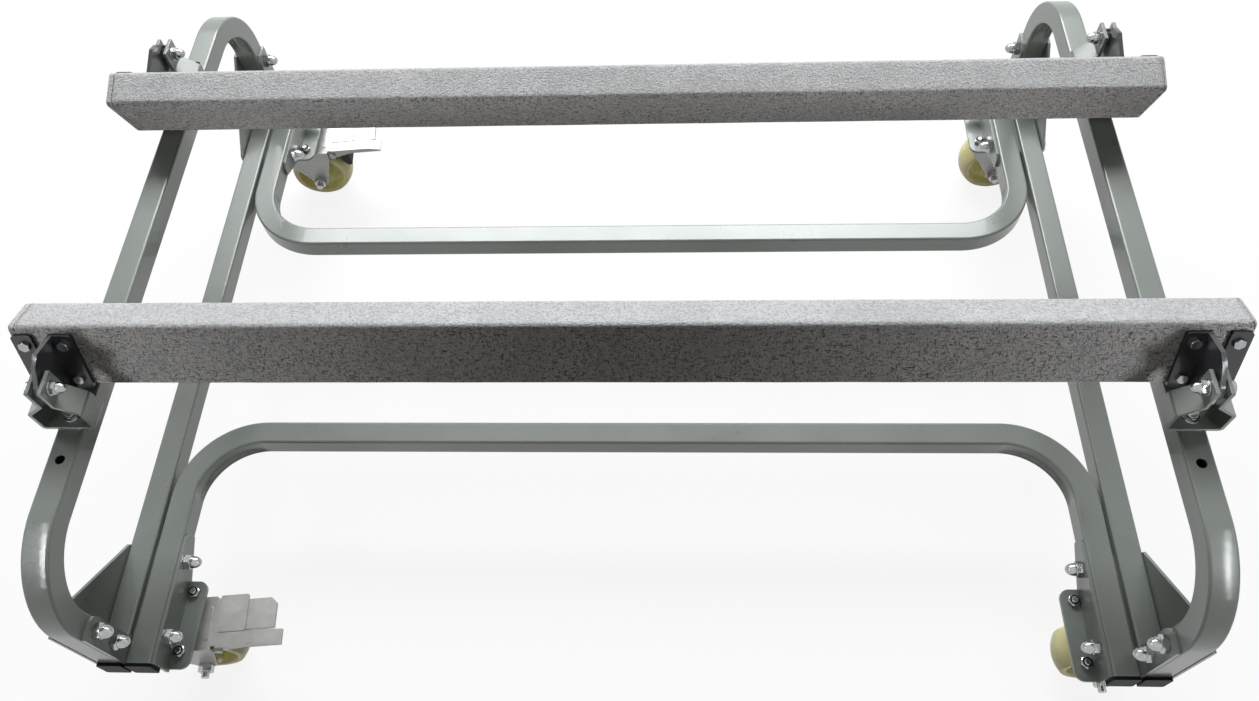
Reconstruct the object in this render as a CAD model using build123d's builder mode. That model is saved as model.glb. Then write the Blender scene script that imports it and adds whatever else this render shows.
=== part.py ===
from build123d import *
import math
import os

os.makedirs("parts", exist_ok=True)

# A wheeled dolly for a personal watercraft, in millimetres. X runs along the bunks, Y runs
# from front (minus) to rear (plus), Z is up, and the origin is the floor under the middle.

# Square frame tube
tube = 30.0
tube_wall = 2.0
tube_corner = 3.0
bend_radius = 90.0

# Base frame, bent cross tubes and upright hoops
base_width = 1220.0
base_length = 920.0
cross_bar_y = 161.0
rail_rise = 206.0
corner_plate = 4.0
nut_headroom = 4.0

# Adjustment holes in the hoop rails
adjust_hole_radius = 5.5
adjust_hole_y = 298.0

# Corner gussets and the plates between the tubes
gusset_margin = 22.0
gusset_tail = 17.0
gusset_chamfer = 8.0
inner_plate_margin = 16.0
inner_plate_drop = 4.0
inner_plate_fillet = 10.0

# Plugs in the open tube ends
plug_head = 4.0
plug_depth = 12.0
plug_clearance = 0.15

# Bolts, nuts and washers of casters, saddles and pivots (8 mm thread)
bolt_radius = 4.0
bolt_clearance = 0.25
thread_clearance = 0.05
head_flats = 13.0
head_height = 5.3
nut_flats = 13.0
nut_height = 6.5
acorn_height = 15.0
acorn_dome_radius = 6.0
acorn_bore = 11.0
bolt_end = 2.5
washer_radius = 8.5
washer_thickness = 1.6
washer_play = 0.02

# Bolts and acorn nuts through the frame (10 mm thread)
frame_bolt_radius = 5.0
frame_flats = 17.0
frame_head_height = 6.4
frame_nut_height = 8.0
frame_acorn_height = 20.0
frame_dome_radius = 8.0
frame_acorn_bore = 15.0
corner_bolt_heights = (36.0, 76.0)
bracket_bolt_setbacks = (35.0, 127.0)

# Caster brackets: an upright web on a floor plate
bracket_web = 4.0
bracket_floor = 4.0
web_tail = 35.0
web_drop = 2.0
web_chamfer = 8.0
web_heel = 21.0
bracket_setback = 58.0
floor_length = 108.0
floor_inner_margin = 15.0
floor_outer_margin = 23.0
floor_corner = 12.0

# Casters: top plate, kingpin and swivel race
caster_shift = 3.0
nut_web_gap = 0.5
caster_plate_margin = 10.25
caster_plate = 3.0
caster_plate_corner = 8.0
caster_bolts_x = 46.0
caster_bolts_y = 73.0
race_outer = 27.0
race_inner = 17.0
race_height = 5.5
race_gap = 0.3
wheel_headroom = 4.7
kingpin_radius = 6.0
kingpin_head = 10.0
kingpin_head_height = 3.0
kingpin_tail_height = 4.0
pin_clearance = 0.06

# Casters: fork, wheel and axle
braked_turn = 5.0
trail = 20.0
wheel_diameter = 100.0
wheel_width = 48.0
wheel_crown = 7.0
tyre_depth = 14.0
wheel_web = 14.0
hub_radius = 18.0
hub_proud = 4.0
hub_play = 2.5
sleeve_radius = 8.0
axle_radius = 5.0
axle_clearance = 0.1
axle_flats = 17.0
axle_head = 6.4
axle_nut = 10.0
axle_stub = 7.0
fork_sheet = 3.0
fork_boss_height = 4.2
fork_front = 24.0
fork_back = 48.0
fork_shoulder = 14.0
fork_eye = 13.0

# Brake on the left casters
brake_fork_back = 62.0
tongue_width = 58.0
rib_x = 42.0
rib_length = 42.0
rib_width = 6.0
rib_height = 1.2
pedal_pin_setback = 6.0
pedal_pin_drop = 8.0
pedal_pin_radius = 3.0
pedal_pin_head = 5.0
pedal_pin_proud = 2.5
pedal_sheet = 2.5
pedal_top_gap = 0.3
pedal_side_gap = 1.0
pedal_box_lap = 7.0
pedal_box_length = 35.0
pedal_cheek = 17.0
front_lobe_length = 45.0
front_lobe_width = 19.0
front_lobe_thick = 8.0
lobe_step = 0.8
lobe_tip = 20.0
lobe_tip_drop = 4.0
rear_lobe_length = 35.0
rear_lobe_width = 38.0
rear_lobe_thick = 5.0
lobe_gap = 2.0
lobe_chamfer = 7.0
shoe_clearance = 2.0
shoe_length = 14.0
shoe_height = 44.0
shoe_inset = 2.0
shoe_gap = 0.4
brake_travel = 6.0

# Bunks: carpeted boards that lean inwards
bunk_overhang = 30.0
board_thick = 38.0
board_wide = 75.0
board_edge = 3.0
carpet = 3.5
carpet_edge = 6.0
seam_width = 8.0
seam_end = 40.0
bunk_lean = 19.3
bunk_rest_gap = 0.5

# Saddles on the rails, with the bunk pivot between their ears
pivot_y = 247.0
pivot_rise = 66.0
saddle_depth = 29.0
saddle_width = 60.0
saddle_sheet = 4.0
saddle_roof = 17.0
saddle_ridge_drop = 16.0
ear_margin = 12.0
saddle_bend = 5.0
ear_round = 1.5
ear_gap = 10.0

# Bunk brackets: a flange screwed to the board, with a fin on the pivot
pivot_stand_off = 46.6
fin_thick = 5.0
fin_eye = 11.0
fin_shoulder = 30.0
fin_nose_out = 1.5
fin_nose_up = 26.0
spacer_play = 0.15
flange_thick = 4.0
flange_inner = 23.0
flange_outer = 43.0
flange_height = 72.0
flange_corner = 4.0
notch_width = 18.5
notch_depth = 34.0
screw_inset = 12.0
screw_drop = 13.0
screw_radius = 2.5
screw_length = 32.0
screw_head_radius = 5.5
screw_head_height = 3.5

# Heights and places worked out from the sizes above
wheel_radius = wheel_diameter / 2
hub_width = wheel_width + 2 * hub_proud
fork_inside = hub_width + 2 * hub_play
fork_outside = fork_inside + 2 * fork_sheet
tail_top = wheel_diameter + wheel_headroom + kingpin_tail_height
crown_bottom = tail_top + race_gap
crown_top = crown_bottom + fork_sheet
race_bottom = crown_top + fork_boss_height + race_gap
caster_height = race_bottom + race_height + caster_plate
floor_top = caster_height + bracket_floor
base_bottom = floor_top + nut_height + bolt_end + nut_headroom
base_middle = base_bottom + tube / 2
base_top = base_bottom + tube
rail_top = base_top + rail_rise
rail_middle = rail_top - tube / 2
pivot_z = rail_top + pivot_rise
outer_x = base_width / 2
tube_x = outer_x - tube / 2
leg_x = tube_x - tube - corner_plate
web_x = leg_x - tube / 2
swivel_x = web_x - bracket_web - nut_web_gap - nut_flats / 2 + caster_bolts_x / 2
half_length = base_length / 2
hoop_leg_y = half_length - tube / 2
bracket_y = half_length - bracket_setback
bolt_hole = bolt_radius + bolt_clearance
frame_hole = frame_bolt_radius + bolt_clearance
bracket_bolt_ys = [half_length - setback for setback in bracket_bolt_setbacks]
corner_bolt_zs = [base_top + height for height in corner_bolt_heights]
bunk_length = base_width + 2 * bunk_overhang
bunk_thick = board_thick + 2 * carpet
bunk_wide = board_wide + 2 * carpet
lean_sin = math.sin(math.radians(bunk_lean))
lean_cos = math.cos(math.radians(bunk_lean))
# The lower inner edge of a bunk rests just above its rails
bunk_reach = pivot_stand_off + bunk_thick
bunk_below_pivot = (pivot_rise - bunk_rest_gap - bunk_reach * lean_sin) / lean_cos
bunk_middle_v = bunk_wide / 2 - bunk_below_pivot
flange_middle_v = flange_height / 2 - bunk_below_pivot

SIDES = {"left": -1, "right": 1}
ENDS = {"front": -1, "rear": 1}
CORNERS = [(f"{end}_{side}", ENDS[end], SIDES[side]) for end in ENDS for side in SIDES]


def side_plane(x):
    """A plane across X, whose own axes are Y and Z."""
    return Plane(origin=(x, 0, 0), x_dir=(0, 1, 0), z_dir=(1, 0, 0))


def end_plane(y, x=0.0):
    """A plane across Y, whose own axes are X and Z, and which faces the front."""
    return Plane(origin=(x, y, 0), x_dir=(1, 0, 0), z_dir=(0, -1, 0))


def bunk_plane(end, outward):
    """A plane along a leaning bunk, at a distance outward from its pivot line."""
    facing = Vector(0, -lean_cos, -end * lean_sin)
    pivot = Plane(origin=(0, end * pivot_y, pivot_z), x_dir=(1, 0, 0), z_dir=facing)
    return pivot.offset(-end * outward)


def swivel_spot(end, side):
    """Where a caster's kingpin stands, in plan."""
    return (side * swivel_x, end * bracket_y + caster_shift)


def caster_plane(end, side):
    """A floor plane at a caster's kingpin, with X along its fork as it stands."""
    turn = math.radians(braked_turn if side < 0 else 0.0)
    along = (math.cos(turn), math.sin(turn), 0)
    return Plane(origin=(*swivel_spot(end, side), 0), x_dir=along, z_dir=(0, 0, 1))


def fork_plane(caster, y):
    """A plane across a fork's own Y, whose axes are the fork's X and Z."""
    origin = caster.from_local_coords((0, y, 0))
    return Plane(origin=origin, x_dir=caster.x_dir, z_dir=-caster.y_dir)


def finish(piece, name):
    """Names a finished piece and writes it."""
    piece.part.label = name
    export_step(piece.part, f"parts/{name}.step")


# Fasteners, each made once with its seat at the origin and its head or dome upwards


def hex_bolt(radius, length, flats, height):
    with BuildPart() as bolt:
        with BuildSketch():
            RegularPolygon(flats / 2, 6, major_radius=False, rotation=30)
        extrude(amount=height)
        with BuildSketch():
            Circle(radius)
        extrude(amount=-length)
    return bolt.part


def hex_nut(radius, flats, height):
    with BuildPart() as nut:
        with BuildSketch():
            RegularPolygon(flats / 2, 6, major_radius=False, rotation=30)
            Circle(radius + thread_clearance, mode=Mode.SUBTRACT)
        extrude(amount=height)
    return nut.part


def acorn_nut(radius, flats, foot, height, dome, bore):
    with BuildPart() as nut:
        with BuildSketch():
            RegularPolygon(flats / 2, 6, major_radius=False, rotation=30)
        extrude(amount=foot)
        with BuildSketch(Plane.XZ):
            with BuildLine():
                Line((0, 0), (dome, 0))
                Line((dome, 0), (dome, height - dome))
                RadiusArc((dome, height - dome), (0, height), -dome)
                Line((0, height), (0, 0))
            make_face()
        revolve(axis=Axis.Z)
        with BuildSketch():
            Circle(radius + thread_clearance)
        extrude(amount=bore, mode=Mode.SUBTRACT)
    return nut.part


def washer(thickness):
    with BuildPart() as ring:
        with BuildSketch():
            Circle(washer_radius)
            Circle(bolt_hole, mode=Mode.SUBTRACT)
        extrude(amount=thickness)
    return ring.part


def seat(origin, facing):
    """Where a fastener sits: its seat's middle and the way its head or dome faces."""
    return Plane(origin=origin, z_dir=facing).location


# Frame tubes

for name, side in SIDES.items():
    with BuildPart() as base_tube:
        with BuildSketch(end_plane(half_length, side * tube_x)):
            with Locations((0, base_middle)):
                RectangleRounded(tube, tube, tube_corner)
                Rectangle(tube - 2 * tube_wall, tube - 2 * tube_wall, mode=Mode.SUBTRACT)
        extrude(amount=base_length)
        with BuildSketch(side_plane(side * tube_x)):
            with Locations([(end * y, base_middle) for end in ENDS.values() for y in bracket_bolt_ys]):
                Circle(frame_hole)
        extrude(amount=tube, both=True, mode=Mode.SUBTRACT)
    finish(base_tube, f"{name}_base_tube")

for name, end in ENDS.items():
    with BuildPart() as cross_tube:
        with BuildLine(Plane.XY.offset(base_middle)) as path:
            FilletPolyline(
                (-leg_x, end * half_length),
                (-leg_x, end * cross_bar_y),
                (leg_x, end * cross_bar_y),
                (leg_x, end * half_length),
                radius=bend_radius,
            )
        start = Plane(origin=(-leg_x, end * half_length, base_middle), x_dir=(1, 0, 0), z_dir=(0, -end, 0))
        with BuildSketch(start):
            RectangleRounded(tube, tube, tube_corner)
            Rectangle(tube - 2 * tube_wall, tube - 2 * tube_wall, mode=Mode.SUBTRACT)
        sweep(path=path.line)
        for side in SIDES.values():
            with BuildSketch(side_plane(side * leg_x)):
                with Locations([(end * y, base_middle) for y in bracket_bolt_ys]):
                    Circle(frame_hole)
            extrude(amount=tube, both=True, mode=Mode.SUBTRACT)
    finish(cross_tube, f"{name}_cross_tube")

for name, side in SIDES.items():
    with BuildPart() as hoop:
        with BuildLine(side_plane(side * tube_x)) as path:
            FilletPolyline(
                (-hoop_leg_y, base_top),
                (-hoop_leg_y, rail_middle),
                (hoop_leg_y, rail_middle),
                (hoop_leg_y, base_top),
                radius=bend_radius,
            )
        with BuildSketch(Plane(origin=(side * tube_x, -hoop_leg_y, base_top))):
            RectangleRounded(tube, tube, tube_corner)
            Rectangle(tube - 2 * tube_wall, tube - 2 * tube_wall, mode=Mode.SUBTRACT)
        sweep(path=path.line)
        with BuildSketch(side_plane(side * tube_x)):
            with Locations([(end * hoop_leg_y, z) for end in ENDS.values() for z in corner_bolt_zs]):
                Circle(frame_hole)
        extrude(amount=tube, both=True, mode=Mode.SUBTRACT)
        with BuildSketch(Plane.XY.offset(rail_middle)):
            with Locations([(side * tube_x, end * adjust_hole_y) for end in ENDS.values()]):
                Circle(adjust_hole_radius)
            with Locations([(side * tube_x, end * pivot_y) for end in ENDS.values()]):
                Circle(bolt_hole)
        extrude(amount=tube, both=True, mode=Mode.SUBTRACT)
    finish(hoop, f"{name}_hoop")

plug_width = tube - 2 * (tube_wall + plug_clearance)

with BuildPart() as tube_end_plugs:
    for _, end, side in CORNERS:
        for x in (tube_x, leg_x):
            with BuildSketch(end_plane(end * half_length, side * x)):
                with Locations((0, base_middle)):
                    RectangleRounded(tube, tube, tube_corner)
            extrude(amount=-end * plug_head)
            with BuildSketch(end_plane(end * half_length, side * x)):
                with Locations((0, base_middle)):
                    Rectangle(plug_width, plug_width)
            extrude(amount=end * plug_depth)
finish(tube_end_plugs, "tube_end_plugs")

# Corner plates: a gusset outside each corner and a plate between the tubes

reach_y = min(bracket_bolt_ys) - gusset_tail
gusset_top = max(corner_bolt_zs) + gusset_margin
inner_plate_top = max(corner_bolt_zs) + inner_plate_margin
strip_top = base_top - inner_plate_drop

for name, end, side in CORNERS:
    with BuildPart() as gusset:
        with BuildSketch(side_plane(side * outer_x)):
            with BuildLine():
                Polyline(
                    (end * half_length, base_bottom),
                    (end * half_length, gusset_top),
                    (end * (half_length - tube), gusset_top),
                    (end * reach_y, base_top),
                    (end * reach_y, base_bottom + gusset_chamfer),
                    (end * (reach_y + gusset_chamfer), base_bottom),
                    close=True,
                )
            make_face()
            with Locations([(end * hoop_leg_y, z) for z in corner_bolt_zs]):
                Circle(frame_hole, mode=Mode.SUBTRACT)
            with Locations([(end * y, base_middle) for y in bracket_bolt_ys]):
                Circle(frame_hole, mode=Mode.SUBTRACT)
        extrude(amount=side * corner_plate)
    finish(gusset, f"{name}_gusset")

    with BuildPart() as inner_plate:
        with BuildSketch(side_plane(side * (tube_x - tube / 2))):
            with BuildLine():
                FilletPolyline(
                    (end * half_length, inner_plate_top),
                    (end * (half_length - tube), inner_plate_top),
                    (end * (half_length - tube), strip_top),
                    (end * reach_y, strip_top),
                    radius=inner_plate_fillet,
                )
                Polyline(
                    (end * reach_y, strip_top),
                    (end * reach_y, base_bottom),
                    (end * half_length, base_bottom),
                    (end * half_length, inner_plate_top),
                )
            make_face()
            with Locations([(end * hoop_leg_y, z) for z in corner_bolt_zs]):
                Circle(frame_hole, mode=Mode.SUBTRACT)
            with Locations([(end * y, base_middle) for y in bracket_bolt_ys]):
                Circle(frame_hole, mode=Mode.SUBTRACT)
        extrude(amount=-side * corner_plate)
    finish(inner_plate, f"{name}_corner_plate")

# Bolts along X through each corner, with acorn nuts inboard

corner_stack = 2 * corner_plate + tube
bracket_stack = 2 * corner_plate + 2 * tube + bracket_web
frame_grip = frame_acorn_bore - bolt_end
corner_bolt = hex_bolt(frame_bolt_radius, corner_stack + frame_grip, frame_flats, frame_head_height)
bracket_bolt = hex_bolt(frame_bolt_radius, bracket_stack + frame_grip, frame_flats, frame_head_height)
frame_acorn = acorn_nut(
    frame_bolt_radius,
    frame_flats,
    frame_nut_height,
    frame_acorn_height,
    frame_dome_radius,
    frame_acorn_bore,
)

bolt_head_x = outer_x + corner_plate

with BuildPart() as corner_bolts:
    for _, end, side in CORNERS:
        for z in corner_bolt_zs:
            add(corner_bolt.moved(seat((side * bolt_head_x, end * hoop_leg_y, z), (side, 0, 0))))
            nut_x = bolt_head_x - corner_stack
            add(frame_acorn.moved(seat((side * nut_x, end * hoop_leg_y, z), (-side, 0, 0))))
finish(corner_bolts, "corner_bolts")

with BuildPart() as bracket_bolts:
    for _, end, side in CORNERS:
        for y in bracket_bolt_ys:
            add(bracket_bolt.moved(seat((side * bolt_head_x, end * y, base_middle), (side, 0, 0))))
            nut_x = bolt_head_x - bracket_stack
            add(frame_acorn.moved(seat((side * nut_x, end * y, base_middle), (-side, 0, 0))))
finish(bracket_bolts, "bracket_bolts")

# Caster brackets and the fixed half of each caster

plate_holes = [
    (sx * caster_bolts_x / 2, sy * caster_bolts_y / 2) for sx in (-1, 1) for sy in (-1, 1)
]
floor_front = bracket_y + floor_length / 2
floor_back = bracket_y - floor_length / 2
floor_inner_x = swivel_x - caster_bolts_x / 2 - floor_inner_margin
floor_outer_x = swivel_x + caster_bolts_x / 2 + floor_outer_margin
web_back = min(bracket_bolt_ys) - web_tail
web_top = base_top - web_drop
caster_plate_x = caster_bolts_x + 2 * caster_plate_margin
caster_plate_y = caster_bolts_y + 2 * caster_plate_margin

for name, end, side in CORNERS:
    x0, y0 = swivel_spot(end, side)
    with BuildPart() as caster_bracket:
        with BuildSketch(side_plane(side * web_x)):
            with BuildLine():
                Polyline(
                    (end * half_length, floor_top),
                    (end * half_length, web_top),
                    (end * (web_back + web_chamfer), web_top),
                    (end * web_back, web_top - web_chamfer),
                    (end * web_back, floor_top + web_heel),
                    (end * floor_back, floor_top),
                    close=True,
                )
            make_face()
            with Locations([(end * y, base_middle) for y in bracket_bolt_ys]):
                Circle(frame_hole, mode=Mode.SUBTRACT)
        extrude(amount=-side * bracket_web)
        with BuildSketch(Plane.XY.offset(caster_height)):
            with BuildLine():
                Polyline(
                    (side * floor_outer_x, end * floor_front),
                    (side * floor_inner_x, end * floor_front),
                    (side * floor_inner_x, end * floor_back),
                    (side * floor_outer_x, end * floor_back),
                    close=True,
                )
            make_face()
            fillet(vertices().group_by(Axis.X)[0 if side > 0 else -1], floor_corner)
            with Locations([(x0 + x, y0 + y) for x, y in plate_holes]):
                Circle(bolt_hole, mode=Mode.SUBTRACT)
            with Locations((x0, y0)):
                Circle(kingpin_head + 2 * bolt_clearance, mode=Mode.SUBTRACT)
        extrude(amount=bracket_floor)
    finish(caster_bracket, f"{name}_caster_bracket")

    with BuildPart() as caster_top_plate:
        with BuildSketch(Plane.XY.offset(caster_height)):
            with Locations((x0, y0)):
                RectangleRounded(caster_plate_x, caster_plate_y, caster_plate_corner)
                Circle(kingpin_radius + pin_clearance, mode=Mode.SUBTRACT)
            with Locations([(x0 + x, y0 + y) for x, y in plate_holes]):
                Circle(bolt_hole, mode=Mode.SUBTRACT)
        extrude(amount=-caster_plate)
        with BuildSketch(Plane.XY.offset(race_bottom)):
            with Locations((x0, y0)):
                Circle(race_outer)
                Circle(race_inner, mode=Mode.SUBTRACT)
        extrude(amount=race_height)
    finish(caster_top_plate, f"{name}_caster_plate")

caster_stack = caster_plate + bracket_floor
caster_bolt = hex_bolt(bolt_radius, caster_stack + nut_height + bolt_end, head_flats, head_height)
plain_nut = hex_nut(bolt_radius, nut_flats, nut_height)

with BuildPart() as caster_bolts:
    for _, end, side in CORNERS:
        x0, y0 = swivel_spot(end, side)
        for x, y in plate_holes:
            under = (x0 + x, y0 + y, caster_height - caster_plate)
            add(caster_bolt.moved(seat(under, (0, 0, -1))))
            add(plain_nut.moved(seat((x0 + x, y0 + y, floor_top), (0, 0, 1))))
finish(caster_bolts, "caster_bolts")

with BuildPart() as kingpins:
    for _, end, side in CORNERS:
        x0, y0 = swivel_spot(end, side)
        with BuildSketch(Plane.XY.offset(caster_height)):
            with Locations((x0, y0)):
                Circle(kingpin_head)
        extrude(amount=kingpin_head_height)
        with BuildSketch(Plane.XY.offset(tail_top)):
            with Locations((x0, y0)):
                Circle(kingpin_radius)
        extrude(amount=caster_height - tail_top)
        with BuildSketch(Plane.XY.offset(tail_top)):
            with Locations((x0, y0)):
                Circle(kingpin_head)
        extrude(amount=-kingpin_tail_height)
finish(kingpins, "caster_kingpins")

# Swivelling half of each caster: fork, wheel and axle

axle_length = fork_outside + axle_nut + axle_stub
axle_bolt = hex_bolt(axle_radius, axle_length, axle_flats, axle_head)
axle_lock_nut = hex_nut(axle_radius, axle_flats, axle_nut)
pedal_pin_x = brake_fork_back - pedal_pin_setback
pedal_pin_z = crown_top - pedal_pin_drop

for name, end, side in CORNERS:
    braked = side < 0
    caster = caster_plane(end, side)
    with BuildPart() as fork:
        for wall_y in (fork_outside / 2, -fork_inside / 2):
            with BuildSketch(fork_plane(caster, wall_y)):
                with BuildLine():
                    Polyline(
                        (-fork_front, crown_top),
                        (fork_back, crown_top),
                        (fork_back, crown_top - fork_shoulder),
                        (trail + fork_eye, wheel_radius),
                        (trail - fork_eye, wheel_radius),
                        (-fork_front, crown_top - fork_shoulder),
                        close=True,
                    )
                make_face()
                with Locations((trail, wheel_radius)):
                    Circle(fork_eye)
                    Circle(axle_radius + axle_clearance, mode=Mode.SUBTRACT)
            extrude(amount=fork_sheet)
        with BuildSketch(caster.offset(crown_bottom)):
            with Locations(((fork_back - fork_front) / 2, 0)):
                Rectangle(fork_front + fork_back, fork_outside)
            Circle(race_outer)
            if braked:
                with Locations((brake_fork_back / 2, 0)):
                    Rectangle(brake_fork_back, tongue_width)
        extrude(amount=fork_sheet)
        with BuildSketch(caster.offset(crown_top)):
            Circle(race_outer)
        extrude(amount=fork_boss_height)
        if braked:
            with BuildSketch(caster.offset(crown_top)):
                with Locations((rib_x, 0)):
                    SlotOverall(rib_length, rib_width, rotation=90)
            extrude(amount=rib_height)
            for lug_y in (tongue_width / 2, fork_sheet - tongue_width / 2):
                with BuildSketch(fork_plane(caster, lug_y)):
                    with Locations(((fork_back + brake_fork_back) / 2, crown_top - fork_shoulder / 2)):
                        Rectangle(brake_fork_back - fork_back, fork_shoulder)
                    with Locations((pedal_pin_x, pedal_pin_z)):
                        Circle(pedal_pin_radius + pin_clearance, mode=Mode.SUBTRACT)
                extrude(amount=fork_sheet)
        with BuildSketch(caster.offset(crown_bottom)):
            Circle(kingpin_radius + pin_clearance)
        extrude(amount=caster_height, mode=Mode.SUBTRACT)
    finish(fork, f"{name}_fork")

    hub_middle = caster.from_local_coords((trail, 0, wheel_radius))
    with BuildPart() as wheel:
        rim_edge = wheel_radius - wheel_crown
        tyre_inner = wheel_radius - tyre_depth
        with BuildSketch(Plane(origin=hub_middle, x_dir=caster.y_dir, z_dir=caster.x_dir)):
            with Locations((0, hub_radius / 2)):
                Rectangle(hub_width, hub_radius)
            with Locations((0, tyre_inner / 2)):
                Rectangle(wheel_web, tyre_inner)
            with BuildLine():
                Polyline(
                    (wheel_width / 2, rim_edge),
                    (wheel_width / 2, tyre_inner),
                    (-wheel_width / 2, tyre_inner),
                    (-wheel_width / 2, rim_edge),
                )
                ThreePointArc((-wheel_width / 2, rim_edge), (0, wheel_radius), (wheel_width / 2, rim_edge))
            make_face()
            bore = sleeve_radius + pin_clearance
            with Locations((0, 0)):
                Rectangle(2 * hub_width, 2 * bore, mode=Mode.SUBTRACT)
        revolve(axis=Axis(hub_middle, caster.y_dir))
    finish(wheel, f"{name}_wheel")

    with BuildPart() as axle:
        with BuildSketch(fork_plane(caster, fork_inside / 2)):
            with Locations((trail, wheel_radius)):
                Circle(sleeve_radius)
                Circle(axle_radius + axle_clearance, mode=Mode.SUBTRACT)
        extrude(amount=fork_inside)
        head_spot = hub_middle + caster.y_dir * (fork_outside / 2)
        nut_spot = hub_middle - caster.y_dir * (fork_outside / 2)
        add(axle_bolt.moved(seat(head_spot, caster.y_dir)))
        add(axle_lock_nut.moved(seat(nut_spot, -caster.y_dir)))
    finish(axle, f"{name}_axle")

# Brake pedals and their shoes, on the two left casters

pedal_inside = tongue_width + 2 * pedal_side_gap
pedal_outside = pedal_inside + 2 * pedal_sheet
pedal_under = crown_top + rib_height + pedal_top_gap
pedal_top = pedal_under + pedal_sheet
pedal_box_start = brake_fork_back - pedal_box_lap
pedal_box_end = pedal_box_start + pedal_box_length
lobe_root = pedal_box_end - 2 * pedal_sheet
lobe_split = front_lobe_width - pedal_outside / 2
front_lobe_top = pedal_top - lobe_step
front_lobe_end = pedal_box_end + front_lobe_length
rear_lobe_end = pedal_box_end + rear_lobe_length
rear_lobe_near = lobe_split + lobe_gap
rear_lobe_far = rear_lobe_near + rear_lobe_width
shoe_start = brake_fork_back + shoe_clearance
shoe_end = shoe_start + shoe_length
shoe_width = wheel_width - 2 * shoe_inset
# The wheel's middle as the pressed pedal sees it, which the shoe's face is round
press_sin = math.sin(math.radians(brake_travel))
press_cos = math.cos(math.radians(brake_travel))
seen_x = trail - pedal_pin_x
seen_z = wheel_radius - pedal_pin_z
pressed_x = pedal_pin_x + seen_x * press_cos - seen_z * press_sin
pressed_z = pedal_pin_z + seen_x * press_sin + seen_z * press_cos

for name, end, side in CORNERS:
    if side > 0:
        continue
    caster = caster_plane(end, side)
    with BuildPart() as pedal:
        with BuildSketch(caster.offset(pedal_under)):
            box_middle = ((pedal_box_start + pedal_box_end) / 2, front_lobe_width / 2)
            with Locations(box_middle):
                RectangleRounded(pedal_box_length, pedal_outside - front_lobe_width, pedal_sheet)
        extrude(amount=pedal_sheet)
        for wall_y in (pedal_outside / 2, -pedal_inside / 2):
            with BuildSketch(fork_plane(caster, wall_y)):
                with BuildLine():
                    Polyline(
                        (pedal_pin_x, pedal_top - pedal_sheet / 2),
                        (pedal_box_end - pedal_sheet, pedal_top - pedal_sheet / 2),
                        (pedal_box_end - pedal_sheet, pedal_top - pedal_cheek / 2),
                        (pedal_pin_x, pedal_top - pedal_cheek),
                        close=True,
                    )
                make_face()
                with Locations((pedal_pin_x, pedal_pin_z)):
                    Circle(2 * pedal_pin_radius)
            extrude(amount=pedal_sheet)
        with BuildSketch(fork_plane(caster, lobe_split)):
            with BuildLine():
                Polyline(
                    (pedal_box_start, pedal_under),
                    (pedal_box_start, front_lobe_top),
                    (front_lobe_end - lobe_tip, front_lobe_top),
                    (front_lobe_end, front_lobe_top - lobe_tip_drop),
                    (front_lobe_end, front_lobe_top - front_lobe_thick),
                    (lobe_root, front_lobe_top - front_lobe_thick),
                    (lobe_root, pedal_under),
                    close=True,
                )
            make_face()
        extrude(amount=front_lobe_width)
        with BuildSketch(caster.offset(pedal_under)):
            with BuildLine():
                Polyline(
                    (lobe_root, rear_lobe_near),
                    (rear_lobe_end, rear_lobe_near),
                    (rear_lobe_end, rear_lobe_far - lobe_chamfer),
                    (rear_lobe_end - lobe_chamfer, rear_lobe_far),
                    (lobe_root, rear_lobe_far),
                    close=True,
                )
            make_face()
        extrude(amount=-rear_lobe_thick)
        with BuildSketch(fork_plane(caster, pedal_outside / 2)):
            with Locations((pedal_pin_x, pedal_pin_z)):
                Circle(pedal_pin_radius)
        extrude(amount=pedal_outside)
        for head_y in (pedal_outside / 2 + pedal_pin_proud, -pedal_outside / 2):
            with BuildSketch(fork_plane(caster, head_y)):
                with Locations((pedal_pin_x, pedal_pin_z)):
                    Circle(pedal_pin_head)
            extrude(amount=pedal_pin_proud)
    finish(pedal, f"{name}_brake_pedal")

    with BuildPart() as shoe:
        with BuildSketch(fork_plane(caster, shoe_width / 2)):
            with BuildLine():
                Polyline(
                    (shoe_start, pedal_under),
                    (shoe_end, pedal_under),
                    (shoe_end, pedal_under - shoe_height),
                    (shoe_start, pedal_under - shoe_height),
                    close=True,
                )
            make_face()
            with Locations((pressed_x, pressed_z)):
                Circle(wheel_radius + shoe_gap, mode=Mode.SUBTRACT)
        extrude(amount=shoe_width)
    finish(shoe, f"{name}_brake_shoe")

# Saddles on the rails, with their bolts

ear_outside = ear_gap + 2 * saddle_sheet
ear_x = ear_outside / 2
wall_x = saddle_width / 2
ridge_z = pivot_z - saddle_ridge_drop
eaves_z = ridge_z - saddle_roof
ear_top = pivot_z + ear_margin

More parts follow.
